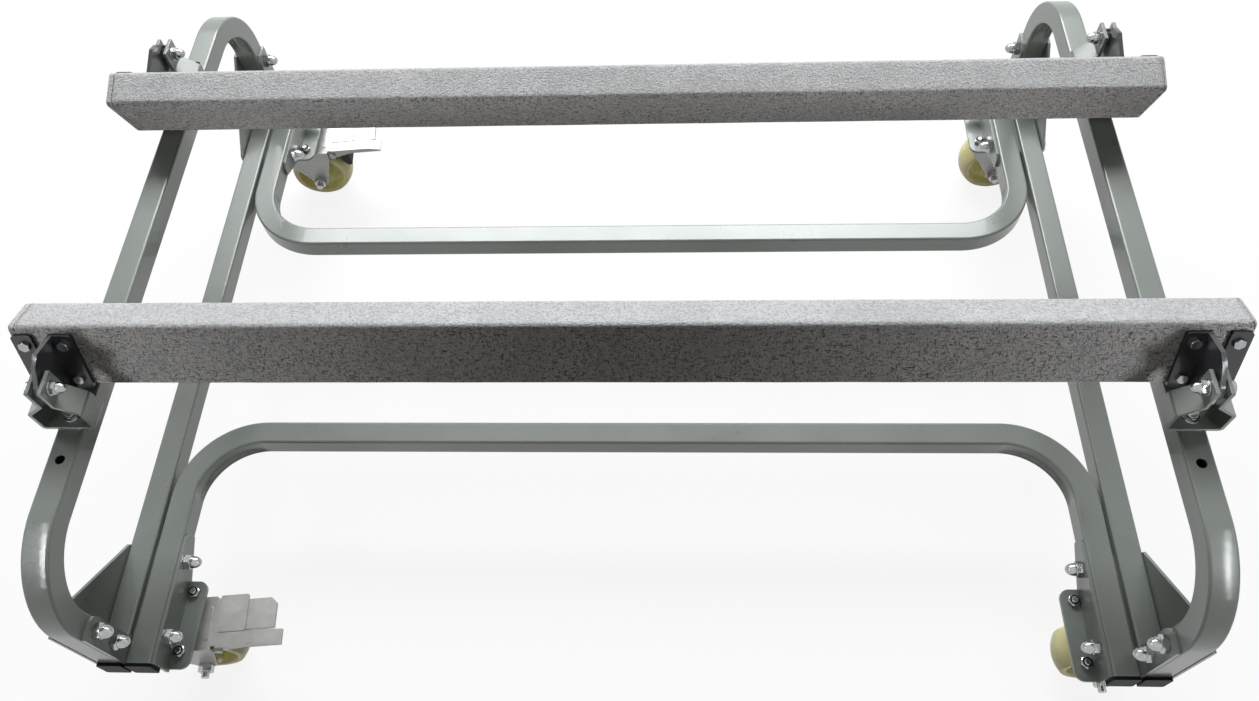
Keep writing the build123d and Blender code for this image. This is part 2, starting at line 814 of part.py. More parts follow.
for name, end, side in CORNERS:
    with BuildPart() as saddle:
        with BuildSketch(end_plane(end * pivot_y + saddle_depth / 2, side * tube_x)):
            with BuildLine():
                Polyline(
                    (-wall_x, rail_top),
                    (wall_x, rail_top),
                    (wall_x, eaves_z),
                    (ear_x, ridge_z),
                    (ear_x, ear_top),
                    (-ear_x, ear_top),
                    (-ear_x, ridge_z),
                    (-wall_x, eaves_z),
                    close=True,
                )
            make_face()
            fillet(vertices().filter_by(lambda corner: abs(corner.X) > ear_x + 1), saddle_bend)
            offset(amount=-saddle_sheet, kind=Kind.INTERSECTION, mode=Mode.SUBTRACT)
            with Locations((0, ear_top)):
                Rectangle(ear_gap, 4 * saddle_sheet, mode=Mode.SUBTRACT)
        extrude(amount=saddle_depth)
        fillet(edges().filter_by(Axis.X).group_by(Axis.Z)[-1], ear_round)
        with BuildSketch(side_plane(side * tube_x)):
            with Locations((end * pivot_y, pivot_z)):
                Circle(bolt_hole)
        extrude(amount=ear_outside, both=True, mode=Mode.SUBTRACT)
        with BuildSketch(Plane.XY.offset(rail_top)):
            with Locations((side * tube_x, end * pivot_y)):
                Circle(bolt_hole)
        extrude(amount=saddle_sheet, mode=Mode.SUBTRACT)
    finish(saddle, f"{name}_saddle")

washer_stack = washer_thickness + washer_play
saddle_stack = washer_stack + saddle_sheet + tube
saddle_bolt = hex_bolt(bolt_radius, saddle_stack + nut_height + bolt_end, head_flats, head_height)
plain_washer = washer(washer_thickness)
spacer = washer((ear_gap - fin_thick) / 2 - spacer_play)
pivot_stack = ear_outside + 2 * washer_stack
pivot_bolt = hex_bolt(bolt_radius, pivot_stack + acorn_bore - bolt_end, head_flats, head_height)
pivot_acorn = acorn_nut(
    bolt_radius, nut_flats, nut_height, acorn_height, acorn_dome_radius, acorn_bore
)

with BuildPart() as saddle_bolts:
    for _, end, side in CORNERS:
        bolt_x = side * tube_x
        bolt_y = end * pivot_y
        saddle_floor = rail_top + saddle_sheet
        add(plain_washer.moved(seat((bolt_x, bolt_y, saddle_floor), (0, 0, 1))))
        add(saddle_bolt.moved(seat((bolt_x, bolt_y, saddle_floor + washer_stack), (0, 0, 1))))
        add(plain_nut.moved(seat((bolt_x, bolt_y, rail_top - tube), (0, 0, -1))))
finish(saddle_bolts, "saddle_bolts")

with BuildPart() as pivot_bolts:
    for _, end, side in CORNERS:
        for ear_side in (-1, 1):
            ear_face = side * tube_x + ear_side * ear_x
            add(plain_washer.moved(seat((ear_face, end * pivot_y, pivot_z), (ear_side, 0, 0))))
            slot_face = side * tube_x + ear_side * ear_gap / 2
            add(spacer.moved(seat((slot_face, end * pivot_y, pivot_z), (-ear_side, 0, 0))))
        head_x = tube_x + ear_x + washer_stack
        nut_x = tube_x - ear_x - washer_stack
        add(pivot_bolt.moved(seat((side * head_x, end * pivot_y, pivot_z), (side, 0, 0))))
        add(pivot_acorn.moved(seat((side * nut_x, end * pivot_y, pivot_z), (-side, 0, 0))))
finish(pivot_bolts, "pivot_bolts")

# Bunks: a board in a carpet wrap, with a bracket near each end

flange_x = tube_x + (flange_outer - flange_inner) / 2
flange_width = flange_inner + flange_outer
flange_top = flange_middle_v + flange_height / 2
flange_bottom = flange_middle_v - flange_height / 2
notch_x = tube_x + (fin_thick + notch_width) / 2
screw_dx = flange_width / 2 - screw_inset
screw_dv = flange_height / 2 - screw_drop
screw_places = [
    (side * flange_x + sx * screw_dx, flange_middle_v + sv * screw_dv)
    for side in SIDES.values()
    for sx in (-1, 1)
    for sv in (-1, 1)
]
shank_length = screw_length + flange_thick - bolt_end
bunk_screw = hex_bolt(screw_radius, shank_length, 2 * screw_head_radius, screw_head_height)

for name, end in ENDS.items():
    outer_face = -pivot_stand_off
    board_length = bunk_length - 2 * carpet
    with BuildPart() as board:
        with BuildSketch(bunk_plane(end, outer_face - carpet)):
            with Locations((0, bunk_middle_v)):
                Rectangle(board_length, board_wide)
        extrude(amount=end * board_thick)
        fillet(edges().filter_by(Axis.X), board_edge)
        with BuildSketch(bunk_plane(end, outer_face)):
            with Locations(screw_places):
                Circle(screw_radius + thread_clearance)
        extrude(amount=end * screw_length, mode=Mode.SUBTRACT)
    finish(board, f"{name}_bunk_board")

    with BuildPart() as wrap:
        with BuildSketch(bunk_plane(end, outer_face)):
            with Locations((0, bunk_middle_v)):
                Rectangle(bunk_length, bunk_wide)
        extrude(amount=end * bunk_thick)
        fillet(edges().filter_by(Axis.X), carpet_edge)
        with BuildSketch(bunk_plane(end, outer_face - bunk_thick / 2)):
            with Locations((0, bunk_middle_v - bunk_wide / 2)):
                Rectangle(bunk_length - 2 * seam_end, 3 * carpet)
        extrude(amount=seam_width / 2, both=True, mode=Mode.SUBTRACT)
        with BuildSketch(bunk_plane(end, outer_face)):
            with Locations(screw_places):
                Circle(screw_radius + thread_clearance)
        extrude(amount=end * screw_length, mode=Mode.SUBTRACT)
        add(board.part, mode=Mode.SUBTRACT)
    finish(wrap, f"{name}_bunk_carpet")

    for side_name, side in SIDES.items():
        flange_face = outer_face + flange_thick
        with BuildPart() as bracket:
            with BuildSketch(bunk_plane(end, outer_face)):
                with Locations((side * flange_x, flange_middle_v)):
                    RectangleRounded(flange_width, flange_height, flange_corner)
                with Locations((side * notch_x, flange_top)):
                    RectangleRounded(notch_width, 2 * notch_depth, flange_corner, mode=Mode.SUBTRACT)
                strip_corner = (side * (notch_x + notch_width / 2), flange_top)
                fillet(vertices().sort_by_distance(strip_corner)[0], flange_corner)
                with Locations(screw_places):
                    Circle(screw_radius + bolt_clearance, mode=Mode.SUBTRACT)
            extrude(amount=-end * flange_thick)
            fin_plane = Plane(
                origin=(side * tube_x, end * pivot_y, pivot_z),
                x_dir=(0, end * lean_cos, lean_sin),
                z_dir=(end, 0, 0),
            )
            with BuildSketch(fin_plane):
                with BuildLine():
                    Polyline(
                        (flange_face, flange_bottom),
                        (flange_face, flange_top),
                        (flange_face + fin_shoulder, flange_top),
                        (-fin_nose_out, fin_nose_up),
                        (fin_eye, 0),
                        (0, -fin_eye),
                        (flange_face + fin_shoulder / 2, flange_bottom),
                        close=True,
                    )
                make_face()
                Circle(fin_eye)
                Circle(bolt_radius + pin_clearance, mode=Mode.SUBTRACT)
            extrude(amount=fin_thick / 2, both=True)
        finish(bracket, f"{name}_{side_name}_bunk_bracket")

    outward = (0, end * lean_cos, lean_sin)
    with BuildPart() as bunk_screws:
        for x, v in screw_places:
            spot = bunk_plane(end, outer_face + flange_thick).from_local_coords((x, v, 0))
            add(bunk_screw.moved(seat(tuple(spot), outward)))
    finish(bunk_screws, f"{name}_bunk_screws")
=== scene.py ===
import math

import bmesh
import bpy
from mathutils import Matrix, Vector, noise


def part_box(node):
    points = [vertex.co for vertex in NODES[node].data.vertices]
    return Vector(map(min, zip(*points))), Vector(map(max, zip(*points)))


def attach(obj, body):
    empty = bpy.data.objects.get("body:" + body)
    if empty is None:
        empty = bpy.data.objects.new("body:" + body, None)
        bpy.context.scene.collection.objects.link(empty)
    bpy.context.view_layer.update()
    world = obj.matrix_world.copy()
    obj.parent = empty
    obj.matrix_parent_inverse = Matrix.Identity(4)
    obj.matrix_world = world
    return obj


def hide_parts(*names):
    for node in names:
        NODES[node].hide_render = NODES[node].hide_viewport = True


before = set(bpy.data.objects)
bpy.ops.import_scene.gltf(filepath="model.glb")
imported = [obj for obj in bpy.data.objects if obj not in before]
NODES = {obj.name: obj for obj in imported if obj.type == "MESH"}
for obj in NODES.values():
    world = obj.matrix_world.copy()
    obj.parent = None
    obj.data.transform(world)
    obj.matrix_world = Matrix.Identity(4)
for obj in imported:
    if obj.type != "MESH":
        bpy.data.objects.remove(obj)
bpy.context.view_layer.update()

bl_info = {
    "name": "Watercraft dolly finish",
    "version": (1, 0, 0),
    "blender": (4, 5, 0),
    "location": "3D View > Sidebar > Dolly",
    "description": "Finishes a watercraft dolly: painted tubes, plated casters, carpeted bunks and a studio",
    "category": "Object",
}

SIDES = {"left": -1, "right": 1}
ENDS = {"front": -1, "rear": 1}
CORNERS = [(f"{end}_{side}", ENDS[end], SIDES[side]) for end in ENDS for side in SIDES]
ACROSS = Vector((1, 0, 0))
UPRIGHT = Vector((0, 0, 1))

# Places and fits of the bolts and pivots, in metres

CORNER_BOLT_RISES = (0.036, 0.076)
BRACKET_BOLT_YS = (0.425, 0.333)
RAIL_HOLE_Y = 0.298
PIVOT_Y = 0.247
PIVOT_Z = 0.444
FRAME_HOLE_RADIUS = 0.00525
SMALL_HOLE_RADIUS = 0.00425
RAIL_HOLE_RADIUS = 0.0055
PLATE_THICK = 0.004
WASHER_THICK = 0.0016
SEAT_GAP = 0.00002


def middle(node):
    low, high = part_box(node)
    return (low + high) / 2


def span(node):
    low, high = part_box(node)
    return high - low


# Sizes and colours that a user would change


def length_setting(name, description, default):
    return bpy.props.FloatProperty(name=name, description=description, default=default, unit="LENGTH")


def angle_setting(name, description, degrees):
    return bpy.props.FloatProperty(
        name=name, description=description, default=math.radians(degrees), subtype="ANGLE")


def colour_setting(name, description, default):
    return bpy.props.FloatVectorProperty(name=name, description=description, default=default, subtype="COLOR")


def power_setting(name, description, default):
    return bpy.props.FloatProperty(name=name, description=description, default=default, unit="POWER")


def whole_setting(name, description, default):
    return bpy.props.IntProperty(name=name, description=description, default=default)


class DollyTubes(bpy.types.PropertyGroup):
    size: length_setting("Tube", "Side of the square tube", span("left_base_tube").x)
    wall: length_setting("Wall", "Wall of the square tube", 0.002)
    corner: length_setting("Corner", "Outer radius of the tube's corners", 0.003)
    bend: length_setting("Bend", "Radius of a bend at the middle of the tube", 0.09)
    bend_steps: whole_setting("Bend steps", "Steps round one bend", 28)
    crease: length_setting("Crease", "How far the inner wall of a bend is drawn in", 0.0045)
    paint: colour_setting("Paint", "Colour of the frame paint", (0.225, 0.25, 0.228))


class DollyPlates(bpy.types.PropertyGroup):
    ease: length_setting("Eased edge", "Rounding of a plate's edges", 0.0006)
    sheet_ease: length_setting("Sheet edge", "Rounding of pressed sheet edges", 0.0008)
    plug_ease: length_setting("Plug edge", "Rounding of the plastic plugs", 0.0012)
    sink: length_setting("Sink", "How far a corner plate's edge lies below the tubes' tops", 0.0088)
    # Painted shade: the brackets carry the frame's paint, and this near-black colour stands in for the shade
    # on their flanges.
    bracket: colour_setting("Bracket", "Colour of the bunk brackets", (0.035, 0.037, 0.042))
    zinc: colour_setting("Zinc", "Colour of the plated caster sheet", (0.53, 0.535, 0.52))


class DollyFasteners(bpy.types.PropertyGroup):
    flats: length_setting("Flats", "Across the flats of the caster, saddle and pivot nuts", 0.013)
    bolt_radius: length_setting("Bolt radius", "Radius of those bolts", 0.004)
    head: length_setting("Head", "Height of their heads", 0.0053)
    nut: length_setting("Nut", "Height of their nuts", 0.0065)
    acorn: length_setting("Acorn nut", "Height of a pivot's acorn nut", 0.015)
    frame_flats: length_setting("Frame flats", "Across the flats of the frame's heads and nuts", 0.017)
    frame_radius: length_setting("Frame bolt radius", "Radius of the frame bolts", 0.005)
    frame_head: length_setting("Frame head", "Height of the frame bolts' heads", 0.0064)
    frame_nut: length_setting("Frame nut", "Height of a frame acorn nut's hexagon", 0.008)
    frame_acorn: length_setting("Frame acorn nut", "Height of a frame acorn nut", 0.020)
    washer: length_setting("Washer", "Outer radius of a washer", 0.0085)
    seed: whole_setting("Seed", "Seed for how far each fastener is turned", 4)
    plating: colour_setting("Plating", "Colour of the bright plating", (0.42, 0.425, 0.43))


class DollyWheels(bpy.types.PropertyGroup):
    width: length_setting("Width", "Width of a wheel's tread", 0.048)
    crown: length_setting("Crown", "How far the tread bulges", 0.007)
    hub: length_setting("Hub", "Length of a wheel's hub", 0.056)
    turn: angle_setting("Turn", "How far the braked casters are turned", 5.0)
    tread: length_setting("Tread edge", "Rounding of the tread's shoulders", 0.0025)
    ease: length_setting("Moulded edge", "Rounding of the edges of hub, web and rim", 0.0014)
    cream: colour_setting("Cream", "Colour of the cast wheels", (0.94, 0.88, 0.45))


class DollyBunks(bpy.types.PropertyGroup):
    lean: angle_setting("Lean", "How far a bunk leans inwards", 19.3)
    stand_off: length_setting("Stand-off", "From the pivot to a bunk's outer face", 0.0466)
    thick: length_setting("Thickness", "Thickness of a bunk", 0.045)
    wide: length_setting("Width", "Width of a bunk", 0.082)
    below: length_setting("Below pivot", "From the pivot down to a bunk's lower face", 0.0373)
    carpet: length_setting("Carpet", "Thickness of the carpet", 0.0035)
    edge: length_setting("Edge", "Radius of the carpet round the board's edges", 0.006)
    seam: length_setting("Seam", "Gap between the carpet's two edges underneath", 0.008)
    fold: length_setting("Fold", "How far the carpet's left end is folded over", 0.0045)
    light: colour_setting("Light fibre", "Colour of the light fibres", (0.66, 0.66, 0.665))
    dark: colour_setting("Dark fibre", "Colour of the dark fibres", (0.09, 0.082, 0.076))


class DollyStage(bpy.types.PropertyGroup):
    camera: bpy.props.FloatVectorProperty(
        name="Camera", description="Where the camera stands", default=(0.068, -0.748, 1.342),
        subtype="TRANSLATION")
    yaw: angle_setting("Yaw", "Camera turn about the upright", 5.47)
    pitch: angle_setting("Pitch", "Camera tilt below level", 58.63)
    roll: angle_setting("Roll", "Camera roll", -4.80)
    lens: bpy.props.FloatProperty(
        name="Lens", description="Focal length in mm on a 36 mm sensor", default=29.11, unit="CAMERA")
    key: power_setting("Key", "Power of the overhead light", 184.0)
    fill: power_setting("Fill", "Power of each front light", 0.46)
    strip: power_setting("Strip", "Most power of a strip light, which only streaks a bend", 0.17)
    ambient: bpy.props.FloatProperty(name="Ambient", description="Strength of the room's light", default=0.10)
    floor: colour_setting("Floor", "Colour of the floor in view", (0.98, 0.98, 0.98))
    bounce: colour_setting("Bounce", "Colour of the floor as a light under the dolly", (0.245, 0.235, 0.225))


GROUPS = {
    "dolly_tubes": DollyTubes,
    "dolly_plates": DollyPlates,
    "dolly_fasteners": DollyFasteners,
    "dolly_wheels": DollyWheels,
    "dolly_bunks": DollyBunks,
    "dolly_stage": DollyStage,
}


# Node trees


def feed(tree, node, inputs):
    """Give a node its inputs. A socket is linked and any other value is set."""
    for key, value in inputs.items():
        if isinstance(value, bpy.types.NodeSocket):
            tree.links.new(value, node.inputs[key])
        else:
            node.inputs[key].default_value = value


def add(tree, kind, inputs=None, **settings):
    """A node with its settings and inputs."""
    made = tree.nodes.new(kind)
    for key, value in settings.items():
        setattr(made, key, value)
    feed(tree, made, inputs or {})
    return made


def result(tree, kind, inputs=None, **settings):
    """The first output of a new node."""
    return add(tree, kind, inputs, **settings).outputs[0]


def maths(tree, operation, first, second):
    return result(tree, "ShaderNodeMath", {0: first, 1: second}, operation=operation)


def ranged(tree, value, low, high):
    """A value from 0 to 1, moved to another range."""
    return result(tree, "ShaderNodeMapRange", {"Value": value, "To Min": low, "To Max": high})


def stretched(tree, value, low, high):
    """A mask that goes from 0 to 1 between two values."""
    return result(tree, "ShaderNodeMapRange", {"Value": value, "From Min": low, "From Max": high})


def mixed(tree, factor, first, second):
    """A colour between two, by a factor."""
    return add(tree, "ShaderNodeMix", {0: factor, 6: first, 7: second}, data_type="RGBA").outputs[2]


def new_tree(name, kind, inputs, outputs):
    """A node group with named sockets, and the sockets of its input and output nodes."""
    tree = bpy.data.node_groups.new(name, kind)
    for label, socket, default in inputs:
        made = tree.interface.new_socket(name=label, in_out="INPUT", socket_type=f"NodeSocket{socket}")
        if default is not None:
            made.default_value = default
    for label, socket in outputs:
        tree.interface.new_socket(name=label, in_out="OUTPUT", socket_type=f"NodeSocket{socket}")
    return tree, tree.nodes.new("NodeGroupInput").outputs, tree.nodes.new("NodeGroupOutput").inputs


def mottle_group():
    """Broad blotches and fine specks, each a mask from 0 to 1."""
    tree, given, out = new_tree(
        "mottle", "ShaderNodeTree",
        [("Vector", "Vector", None), ("Blotch Scale", "Float", 12.0), ("Speck Scale", "Float", 900.0)],
        [("Blotch", "Float"), ("Speck", "Float")])
    for name, detail, roughness in (("Blotch", 4.0, 0.6), ("Speck", 2.0, 0.5)):
        texture = result(tree, "ShaderNodeTexNoise", {
            "Vector": given["Vector"], "Scale": given[f"{name} Scale"], "Detail": detail,
            "Roughness": roughness})
        tree.links.new(stretched(tree, texture, 0.3, 0.7), out[name])


def edge_group():
    """How much an eased edge shows its edge colour: the piece's edge attribute, broken up by a fine noise.
    Each finish gives that colour its own cause: wear on the paint, dust on the rubber, and a painted
    highlight on the paint and the zinc.
    """
    tree, given, out = new_tree(
        "worn_edge", "ShaderNodeTree",
        [("Vector", "Vector", None), ("Break Scale", "Float", 160.0), ("Amount", "Float", 0.5)],
        [("Mask", "Float")])
    edge = add(tree, "ShaderNodeAttribute", attribute_name="edge").outputs["Fac"]
    chips = result(tree, "ShaderNodeTexNoise",
                   {"Vector": given["Vector"], "Scale": given["Break Scale"], "Detail": 3.0})
    worn = maths(tree, "MULTIPLY", edge, stretched(tree, chips, 0.35, 0.65))
    tree.links.new(maths(tree, "MULTIPLY", worn, given["Amount"]), out["Mask"])


def bent_tube_tree():
    """A square tube along a curve whose corners become bends, drilled at the points of another object."""
    tree, given, out = new_tree(
        "bent_tube", "GeometryNodeTree",
        [("Path", "Geometry", None), ("Size", "Float", 0.03), ("Wall", "Float", 0.002),
         ("Corner", "Float", 0.003), ("Bend", "Float", 0.09), ("Steps", "Int", 28),
         ("Overrun", "Float", 0.01), ("Drill", "Object", None), ("Paint", "Material", None)],
        [("Tube", "Geometry")])
    bends = result(tree, "GeometryNodeFilletCurve",
                   {"Curve": given["Path"], "Count": given["Steps"], "Radius": given["Bend"]}, mode="POLY")
    length = result(tree, "GeometryNodeCurveLength", {"Curve": bends})
    stop = maths(tree, "SUBTRACT", length, given["Overrun"])
    cut = result(tree, "GeometryNodeTrimCurve", {"Curve": bends, 4: given["Overrun"], 5: stop}, mode="LENGTH")
    outline = result(tree, "GeometryNodeCurvePrimitiveQuadrilateral",
                     {"Width": given["Size"], "Height": given["Size"]})
    rounded_outline = result(tree, "GeometryNodeFilletCurve",
                             {"Curve": outline, "Count": 6, "Radius": given["Corner"]}, mode="POLY")
    inside = maths(tree, "SUBTRACT", given["Size"], maths(tree, "MULTIPLY", given["Wall"], 2.0))
    bore = result(tree, "GeometryNodeCurvePrimitiveQuadrilateral", {"Width": inside, "Height": inside})
    bar = result(tree, "GeometryNodeCurveToMesh",
                 {"Curve": cut, "Profile Curve": rounded_outline, "Fill Caps": True})
    core = result(tree, "GeometryNodeCurveToMesh", {"Curve": bends, "Profile Curve": bore, "Fill Caps": True})
    points = add(tree, "GeometryNodeObjectInfo", {"Object": given["Drill"]}).outputs["Geometry"]
    facing = result(tree, "GeometryNodeInputNamedAttribute", {"Name": "facing"}, data_type="FLOAT_VECTOR")
    radius = result(tree, "GeometryNodeInputNamedAttribute", {"Name": "radius"}, data_type="FLOAT")
    turn = result(tree, "FunctionNodeAlignRotationToVector", {"Vector": facing}, axis="Z")
    wide = result(tree, "ShaderNodeCombineXYZ", {"X": radius, "Y": radius, "Z": 1.0})
    long = maths(tree, "MULTIPLY", given["Size"], 2.0)
    drill = result(tree, "GeometryNodeMeshCylinder", {"Vertices": 28, "Radius": 1.0, "Depth": long})
    drills = result(tree, "GeometryNodeInstanceOnPoints",
                    {"Points": points, "Instance": drill, "Rotation": turn, "Scale": wide})
    cutters = result(tree, "GeometryNodeRealizeInstances", {"Geometry": drills})
    hollow = add(tree, "GeometryNodeMeshBoolean", {0: bar}, operation="DIFFERENCE", solver="EXACT")
    tree.links.new(core, hollow.inputs[1])
    tree.links.new(cutters, hollow.inputs[1])
    whole = result(tree, "GeometryNodeRealizeInstances", {"Geometry": hollow.outputs[0]})
    painted = result(tree, "GeometryNodeSetMaterial", {"Geometry": whole, "Material": given["Paint"]})
    tree.links.new(painted, out["Tube"])


def fastener_tree():
    """One fastener at every point, its head along the point's facing and turned at random about it."""
    tree, given, out = new_tree(
        "fasteners", "GeometryNodeTree",
        [("Points", "Geometry", None), ("Fastener", "Object", None), ("Seed", "Int", 4),
         ("Plating", "Material", None)],
        [("Fasteners", "Geometry")])
    facing = result(tree, "GeometryNodeInputNamedAttribute", {"Name": "facing"}, data_type="FLOAT_VECTOR")
    turn = result(tree, "FunctionNodeAlignRotationToVector", {"Vector": facing}, axis="Z")
    shape = add(tree, "GeometryNodeObjectInfo", {"Object": given["Fastener"]}).outputs["Geometry"]
    placed = result(tree, "GeometryNodeInstanceOnPoints",
                    {"Points": given["Points"], "Instance": shape, "Rotation": turn})
    chance = add(tree, "FunctionNodeRandomValue", {2: 0.0, 3: math.pi, "Seed": given["Seed"]},
                 data_type="FLOAT")
    about = result(tree, "ShaderNodeCombineXYZ", {"Z": chance.outputs[1]})
    turned = result(tree, "GeometryNodeRotateInstances", {"Instances": placed, "Rotation": about})
    whole = result(tree, "GeometryNodeRealizeInstances", {"Geometry": turned})
    plated = result(tree, "GeometryNodeSetMaterial", {"Geometry": whole, "Material": given["Plating"]})
    tree.links.new(plated, out["Fasteners"])


# Finishes


def finish_of(slot):
    """The finish that was made for a slot. The frame's own plain colours have the slots' names with no
    prefix.
    """
    return bpy.data.materials[f"dolly_{slot}"]


def new_material(name):
    """A new material's tree, its Principled shader and the Object coordinates that its patterns read."""
    material = bpy.data.materials.new(f"dolly_{name}")
    material.use_nodes = True
    tree = material.node_tree
    return tree, tree.nodes["Principled BSDF"], add(tree, "ShaderNodeTexCoord").outputs["Object"]


def mottle(tree, place, blotch, speck):
    """The masks of the shared mottle, at two scales."""
    made = add(tree, "ShaderNodeGroup", {"Vector": place, "Blotch Scale": blotch, "Speck Scale": speck},
               node_tree=bpy.data.node_groups["mottle"])
    return made.outputs["Blotch"], made.outputs["Speck"]


def worn_edge(tree, place, scale, amount):
    """The mask of the shared eased edge, for wear, dust and painted highlights."""
    return result(tree, "ShaderNodeGroup", {"Vector": place, "Break Scale": scale, "Amount": amount},
                  node_tree=bpy.data.node_groups["worn_edge"])


def bump(tree, height, strength, distance):
    return result(tree, "ShaderNodeBump", {"Height": height, "Strength": strength, "Distance": distance})


def shade(colour, times):
    return (*[min(1.0, channel * times) for channel in colour], 1.0)


def paint_material(name, colour, edge_colour):
    """Glossy metallic paint with a fine flake, lighter on its marked edges: partly thin, worn paint and
    partly a painted highlight.
    """
    tree, shader, place = new_material(name)
    blotch, speck = mottle(tree, place, 9.0, 1400.0)
    broad = mixed(tree, blotch, shade(colour, 0.92), shade(colour, 1.06))
    flake = mixed(tree, speck, shade(colour, 0.84), broad)
    # Lighter marked edges: partly worn paint, partly a painted highlight.
    bright_edge = worn_edge(tree, place, 120.0, 0.6)
    feed(tree, shader, {
        "Base Color": mixed(tree, bright_edge, flake, (*edge_colour, 1)),
        "Roughness": ranged(tree, blotch, 0.26, 0.36), "Normal": bump(tree, speck, 0.04, 0.0004),
        "Metallic": 0.06, "Coat Weight": 0.3, "Coat Roughness": 0.05})


def bright_material(colour):
    """Bright plating with a faint cloud."""
    tree, shader, place = new_material("bright_zinc")
    blotch, speck = mottle(tree, place, 120.0, 2200.0)
    feed(tree, shader, {
        "Base Color": mixed(tree, blotch, shade(colour, 0.86), shade(colour, 1.06)),
        "Roughness": ranged(tree, speck, 0.12, 0.22), "Metallic": 1.0})


def zinc_material(colour):
    """Plated caster sheet: a soft spangle, fine specks and brighter edges, which are a painted highlight."""
    tree, shader, place = new_material("zinc_steel")
    blotch, speck = mottle(tree, place, 60.0, 1500.0)
    warm = (colour[0], colour[1] * 0.985, colour[2] * 0.94)
    spangle = mixed(tree, blotch, shade(warm, 0.8), shade(colour, 1.08))
    speckled = mixed(tree, speck, shade(colour, 0.84), spangle)
    # Brighter edges: a painted highlight.
    bright_edge = worn_edge(tree, place, 200.0, 0.9)
    feed(tree, shader, {
        "Base Color": mixed(tree, bright_edge, speckled, shade(colour, 1.6)),
        "Roughness": ranged(tree, blotch, 0.26, 0.42), "Normal": bump(tree, speck, 0.08, 0.0003),
        "Metallic": 0.3})


def plastic_material():
    """Black moulded plastic with a fine texture."""
    tree, shader, place = new_material("black_plastic")
    blotch, speck = mottle(tree, place, 70.0, 2600.0)
    feed(tree, shader, {
        "Base Color": mixed(tree, blotch, (0.004, 0.004, 0.0042, 1), (0.009, 0.009, 0.0095, 1)),
        "Roughness": ranged(tree, speck, 0.38, 0.55), "Normal": bump(tree, speck, 0.15, 0.0002),
        "Specular IOR Level": 0.06})


def wheel_material(colour):
    """Cast cream plastic, waxy, with floor scuffs."""
    tree, shader, place = new_material("cream_wheel")
    blotch, speck = mottle(tree, place, 45.0, 700.0)
    body = mixed(tree, blotch, shade(colour, 0.9), shade(colour, 1.06))
    scuff = result(tree, "ShaderNodeMapRange",
                   {"Value": speck, "From Min": 0.75, "From Max": 1.0, "To Max": 0.35})
    feed(tree, shader, {
        "Base Color": mixed(tree, scuff, body, (0.35, 0.31, 0.18, 1)),
        "Roughness": ranged(tree, blotch, 0.3, 0.45), "Subsurface Weight": 0.25,
        "Subsurface Radius": (0.006, 0.005, 0.002), "Subsurface Scale": 1.0})


def fibres(tree, place, scale, turn):
    """Fine noise, drawn out along one way."""
    laid = result(tree, "ShaderNodeMapping", {"Vector": place, "Scale": scale, "Rotation": turn})
    return result(tree, "ShaderNodeTexNoise",
                  {"Vector": laid, "Scale": 1.0, "Detail": 2.0, "Roughness": 0.6, "Distortion": 0.5})


def carpet_material(light, dark):
    """Felt carpet: light and dark fibres, tufts and a slow change of shade. Where it faces up it is painted
    lighter, with paler flecks, and its sides get a darker, warmer light fibre: painted light from above and
    painted shade on the sides.
    """
    tree, shader, place = new_material("marine_carpet")
    blotch, speck = mottle(tree, place, 16.0, 420.0)
    along = fibres(tree, place, (170.0, 620.0, 620.0), (0, 0, 0))
    across = fibres(tree, place, (620.0, 230.0, 230.0), (0.4, 0.5, 0.3))
    hairs = maths(tree, "MINIMUM", along, across)
    fleck = stretched(tree, hairs, 0.35, 0.47)
    # Painted light: a mask of the faces that look up, which get the lighter fibres and paler flecks; the
    # sides get the shaded copy.
    normal = add(tree, "ShaderNodeTexCoord").outputs["Normal"]
    painted_top_light = stretched(tree, add(tree, "ShaderNodeSeparateXYZ", {0: normal}).outputs["Z"], 0.45, 0.85)
    shaded = (light[0], light[1] * 0.965, light[2] * 0.93, 1)
    heather = mixed(tree, fleck, mixed(tree, painted_top_light, (*dark, 1), shade(light, 0.60)),
                    mixed(tree, painted_top_light, shaded, (*light, 1)))
    tufted = mixed(tree, speck, shade(light, 0.62), heather)
    feed(tree, shader, {
        "Base Color": mixed(tree, blotch, tufted, heather), "Roughness": ranged(tree, hairs, 0.85, 1.0),
        "Normal": bump(tree, maths(tree, "ADD", hairs, speck), 0.55, 0.0012), "Specular IOR Level": 0.12,
        "Sheen Weight": 0.12, "Sheen Roughness": 0.6})


def timber_material():
    """Sawn softwood with its grain along the board."""
    tree, shader, place = new_material("board_timber")
    grain = result(tree, "ShaderNodeMapping", {"Vector": place, "Scale": (4.0, 90.0, 90.0)})
    blotch, speck = mottle(tree, grain, 1.6, 14.0)
    early = mixed(tree, blotch, (0.42, 0.27, 0.13, 1), (0.62, 0.45, 0.26, 1))
    feed(tree, shader, {
        "Base Color": mixed(tree, speck, (0.36, 0.22, 0.11, 1), early),
        "Roughness": ranged(tree, speck, 0.6, 0.8), "Normal": bump(tree, speck, 0.2, 0.0004)})


def rubber_material():
    """Dark brake rubber, dusty on its edges."""
    tree, shader, place = new_material("brake_rubber")
    blotch, speck = mottle(tree, place, 90.0, 1600.0)
    tint = mixed(tree, blotch, (0.02, 0.02, 0.02, 1), (0.04, 0.038, 0.036, 1))
    dusty = worn_edge(tree, place, 260.0, 0.5)
    feed(tree, shader, {
        "Base Color": mixed(tree, dusty, tint, (0.12, 0.115, 0.105, 1)),
        "Roughness": ranged(tree, speck, 0.7, 0.9)})


# Meshes and pieces


def new_object(name, data):
    made = bpy.data.objects.new(name, data)
    bpy.context.scene.collection.objects.link(made)
    return made


